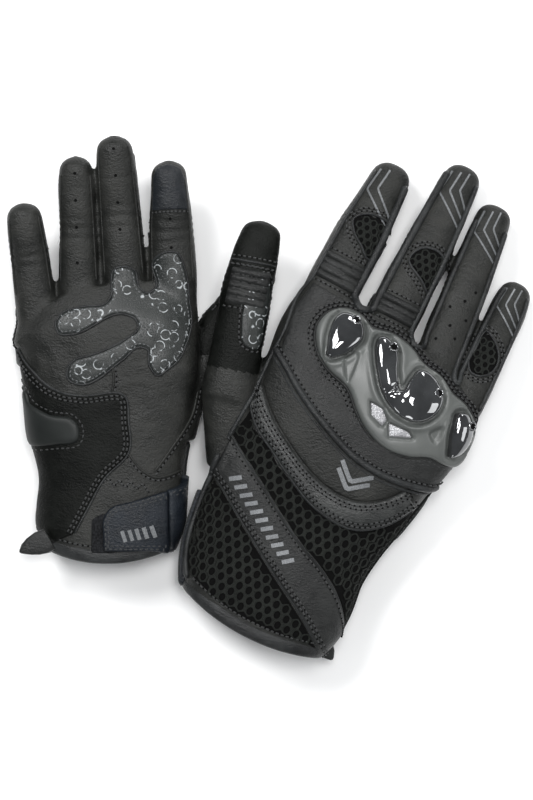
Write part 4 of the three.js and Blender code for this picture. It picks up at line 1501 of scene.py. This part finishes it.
def pull_tab(glove):
    """The short folded leather tab at the hem's little-finger corner."""
    rows = [(0, 6.4, 1.7), (5, 6.8, 1.6), (10, 5.8, 1.5), (14, 4, 1.4), (17, 1.6, 1.2), (17.8, 0.7, 0.9)]
    angle = np.arange(16) / 16 * 2 * np.pi
    c, n = squircle(angle, 3)
    start = glove.pattern([(31, -43.5)])[0]
    rings = []
    for along, wide, thick in rows:
        bend = math.radians(-28 - 1.2 * along)
        ahead = np.array([math.cos(bend), math.sin(bend), 0])
        across = np.array([-ahead[1], ahead[0], 0])
        at = np.array([*start, -10]) + np.array([0.9, -0.42, -0.03]) * along * glove.fit[0]
        rings.append(
            at + wide * glove.fit[0] * c[:, None] * across + thick * n[:, None] * np.array([0, 0, -1])
        )
    points, faces = tube_of(np.array(rings))
    glove.add("pull_tab", points, faces)


def leather_pieces(glove):
    """The glove's leather, with its thickness, cut where each joint's bending starts."""
    points, faces = glove.skin_points, glove.faces
    y0 = glove.hand[0, 0]
    x, wide, _, _ = glove.section([y0])
    centres = np.array([points[face].mean(axis=0) for face in faces])
    mouth = y0 + glove.hem_rise(np.clip((centres[:, 0] - x[0]) / wide[0], -1, 1))
    faces = [face for face, centre, low in zip(faces, centres, mouth) if centre[1] > low + 1.4]
    centres = np.array([points[face].mean(axis=0) for face in faces])
    regions = glove.region(centres)
    inner = points - glove.form_normals * LEATHER
    for region in np.unique(regions):
        mine = [face for face, name in zip(faces, regions) if name == region]
        used = sorted({i for face in mine for i in face})
        back = {old: new for new, old in enumerate(used)}
        mine = [[back[i] for i in face] for face in mine]
        count = len(used)
        walls = mine + [[i + count for i in face[::-1]] for face in mine] + rim_of(mine, count)
        obj = new_mesh(
            f"{glove.name}_{region}_leather", glove.world(np.vstack([points[used], inner[used]])), walls
        )
        mesh = obj.data
        # The thumbs' leather is darker: painted shade.
        for name in ("shaded_leather" if region.startswith("thumb") else "leather", "lining"):
            mesh.materials.append(MATERIALS[name])
        inside = np.zeros(len(mesh.polygons), dtype=np.int32)
        inside[len(mine):] = 1
        mesh.polygons.foreach_set("material_index", inside)
        mesh.polygons.foreach_set("use_smooth", np.ones(len(mesh.polygons), dtype=bool))
        outward = glove.skin_normals[used] @ glove.turn.T
        mesh.normals_split_custom_set_from_vertices(np.vstack([outward, -outward]).tolist())
        glove.bind(obj, region)
        yield region, obj


def press_on_table(obj, room=TABLE_PRESS):
    """Presses what would reach below the table into the last part of a millimetre above it."""
    points = np.empty(len(obj.data.vertices) * 3)
    obj.data.vertices.foreach_get("co", points)
    height = points[2::3]
    low = height < room
    height[low] = 0.0001 + (room - 0.0001) * np.exp((height[low] - room) / (room - 0.0001))
    obj.data.vertices.foreach_set("co", points)
    obj.data.update()


def finished_pieces(glove, tree):
    """Makes an object of each kind of piece in each region, with its material; hand and strap pieces are
    attached to their bodies.
    """
    made = {}
    for (region, kind), parts in sorted(glove.pieces.items()):
        body, _, kind_name = kind.rpartition(":")
        points, faces = joined(parts)
        part = "" if region == "hand" and not body else f"_{body or region}"
        name = f"{glove.name}{part}_{kind_name}"
        obj = new_mesh(name, glove.world(points), faces)
        obj.data.materials.append(MATERIALS[KINDS[kind_name][0]])
        made[(body or region, kind_name)] = obj
    for region, kind in sorted(glove.points):
        body, _, kind_name = kind.rpartition(":")
        name = f"{glove.name}_{body or region}_{kind_name}"
        made[(body or region, kind_name)] = repeat_on(
            glove, name, kind_name, glove.points[(region, kind)], tree
        )
    for (region, kind), obj in made.items():
        press_on_table(obj)
        obj.data.polygons.foreach_set("use_smooth", np.ones(len(obj.data.polygons), dtype=bool))
        obj.data.set_sharp_from_angle(angle=1.2)
        if region == "strap":
            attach(obj, f"{glove.name}_strap")
        else:
            glove.bind(obj, region)
    return made


def dress(glove, tree):
    knuckle_guard(glove)
    back_panels(glove)
    fingers_back(glove)
    palm_panels(glove)
    strap(glove)
    fingers_palm(glove)
    thumb_details(glove)
    cuff(glove)
    pull_tab(glove)
    skins = dict(leather_pieces(glove))
    made = finished_pieces(glove, tree)
    name = glove.name
    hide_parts(f"{name}_back_of_hand", f"{name}_palm_of_hand", f"{name}_hand_lining")
    for key in FINGERS:
        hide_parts(f"{name}_{key}_base")
        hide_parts(f"{name}_{key}_tip")
    for key in ("index", "middle"):
        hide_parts(f"{name}_{key}_flex_panel")
    for kind in (
        "knuckle_panel", "knuckle_guard", "index_knuckle_cap", "centre_knuckle_cap", "little_knuckle_cap",
        "vent_screen", "wrist_band", "cuff_binding", "heel_panel", "palm_slider", "grip_patch", "loop_patch",
        "strap_anchor", "pull_tab",
    ):
        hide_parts(f"{name}_{kind}")
    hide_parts(f"{name}_closure_strap")


def stage():
    """A pale floor, soft lights and a camera looking straight down."""
    floor = new_mesh("floor", [(-4, -4, 0), (4, -4, 0), (4, 4, 0), (-4, 4, 0)], [[0, 1, 2, 3]])
    f = Finish("pale_floor")
    cloud = f.noise(3, 2.0)
    floor.data.materials.append(
        f.finish(f.mix(cloud, (0.93, 0.93, 0.93), (0.96, 0.96, 0.96)), 0.8, cloud)
    )
    floor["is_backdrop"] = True
    scene = bpy.context.scene
    scene.view_settings.view_transform = "Standard"
    world = bpy.data.worlds.new("studio")
    scene.world = world
    world.use_nodes = True
    world.node_tree.nodes["Background"].inputs["Color"].default_value = (0.9, 0.95, 1, 1)
    world.node_tree.nodes["Background"].inputs["Strength"].default_value = 0.16
    lights = (
        ("key", (-0.5, 0.6, 1.1), 0.4, 11), (
            "fill", (1.0, -0.25, 0.8), 0.6, 4
        ), ("back", (0.5, 1.0, 0.5), 0.3, 5),
        ("front", (-0.5, -1.0, 0.6), 0.4, 2), ("top", (0.1, 0.2, 1.5), 0.4, 13),
    )
    for name, place, size, power in lights:
        light = bpy.data.lights.new(name, "AREA")
        light.size, light.energy = size, power
        obj = bpy.data.objects.new(name, light)
        obj.location = place
        obj.rotation_euler = (Vector((0, 0, 0.02)) - Vector(place)).to_track_quat("-Z", "Y").to_euler()
        scene.collection.objects.link(obj)
    camera = bpy.data.cameras.new("camera")
    camera.sensor_fit, camera.sensor_height = "VERTICAL", 36
    height = 1.1
    glove_top, view_tall = 0.03, 0.384
    camera.lens = camera.sensor_height * (height - glove_top) / view_tall
    eye = bpy.data.objects.new("camera", camera)
    eye.location = (-0.0019, 0.0008, height)
    scene.collection.objects.link(eye)
    scene.camera = eye


stage()
tree = repeat_tree()
for name, shape in (("back_up", BACK_UP), ("palm_up", PALM_UP)):
    dress(Glove(name, shape), tree)
boxes = {"cad": cad_box, "visual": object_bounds()}
{key: [[float(x) for x in corner] for corner in box] for key, box in boxes.items()}
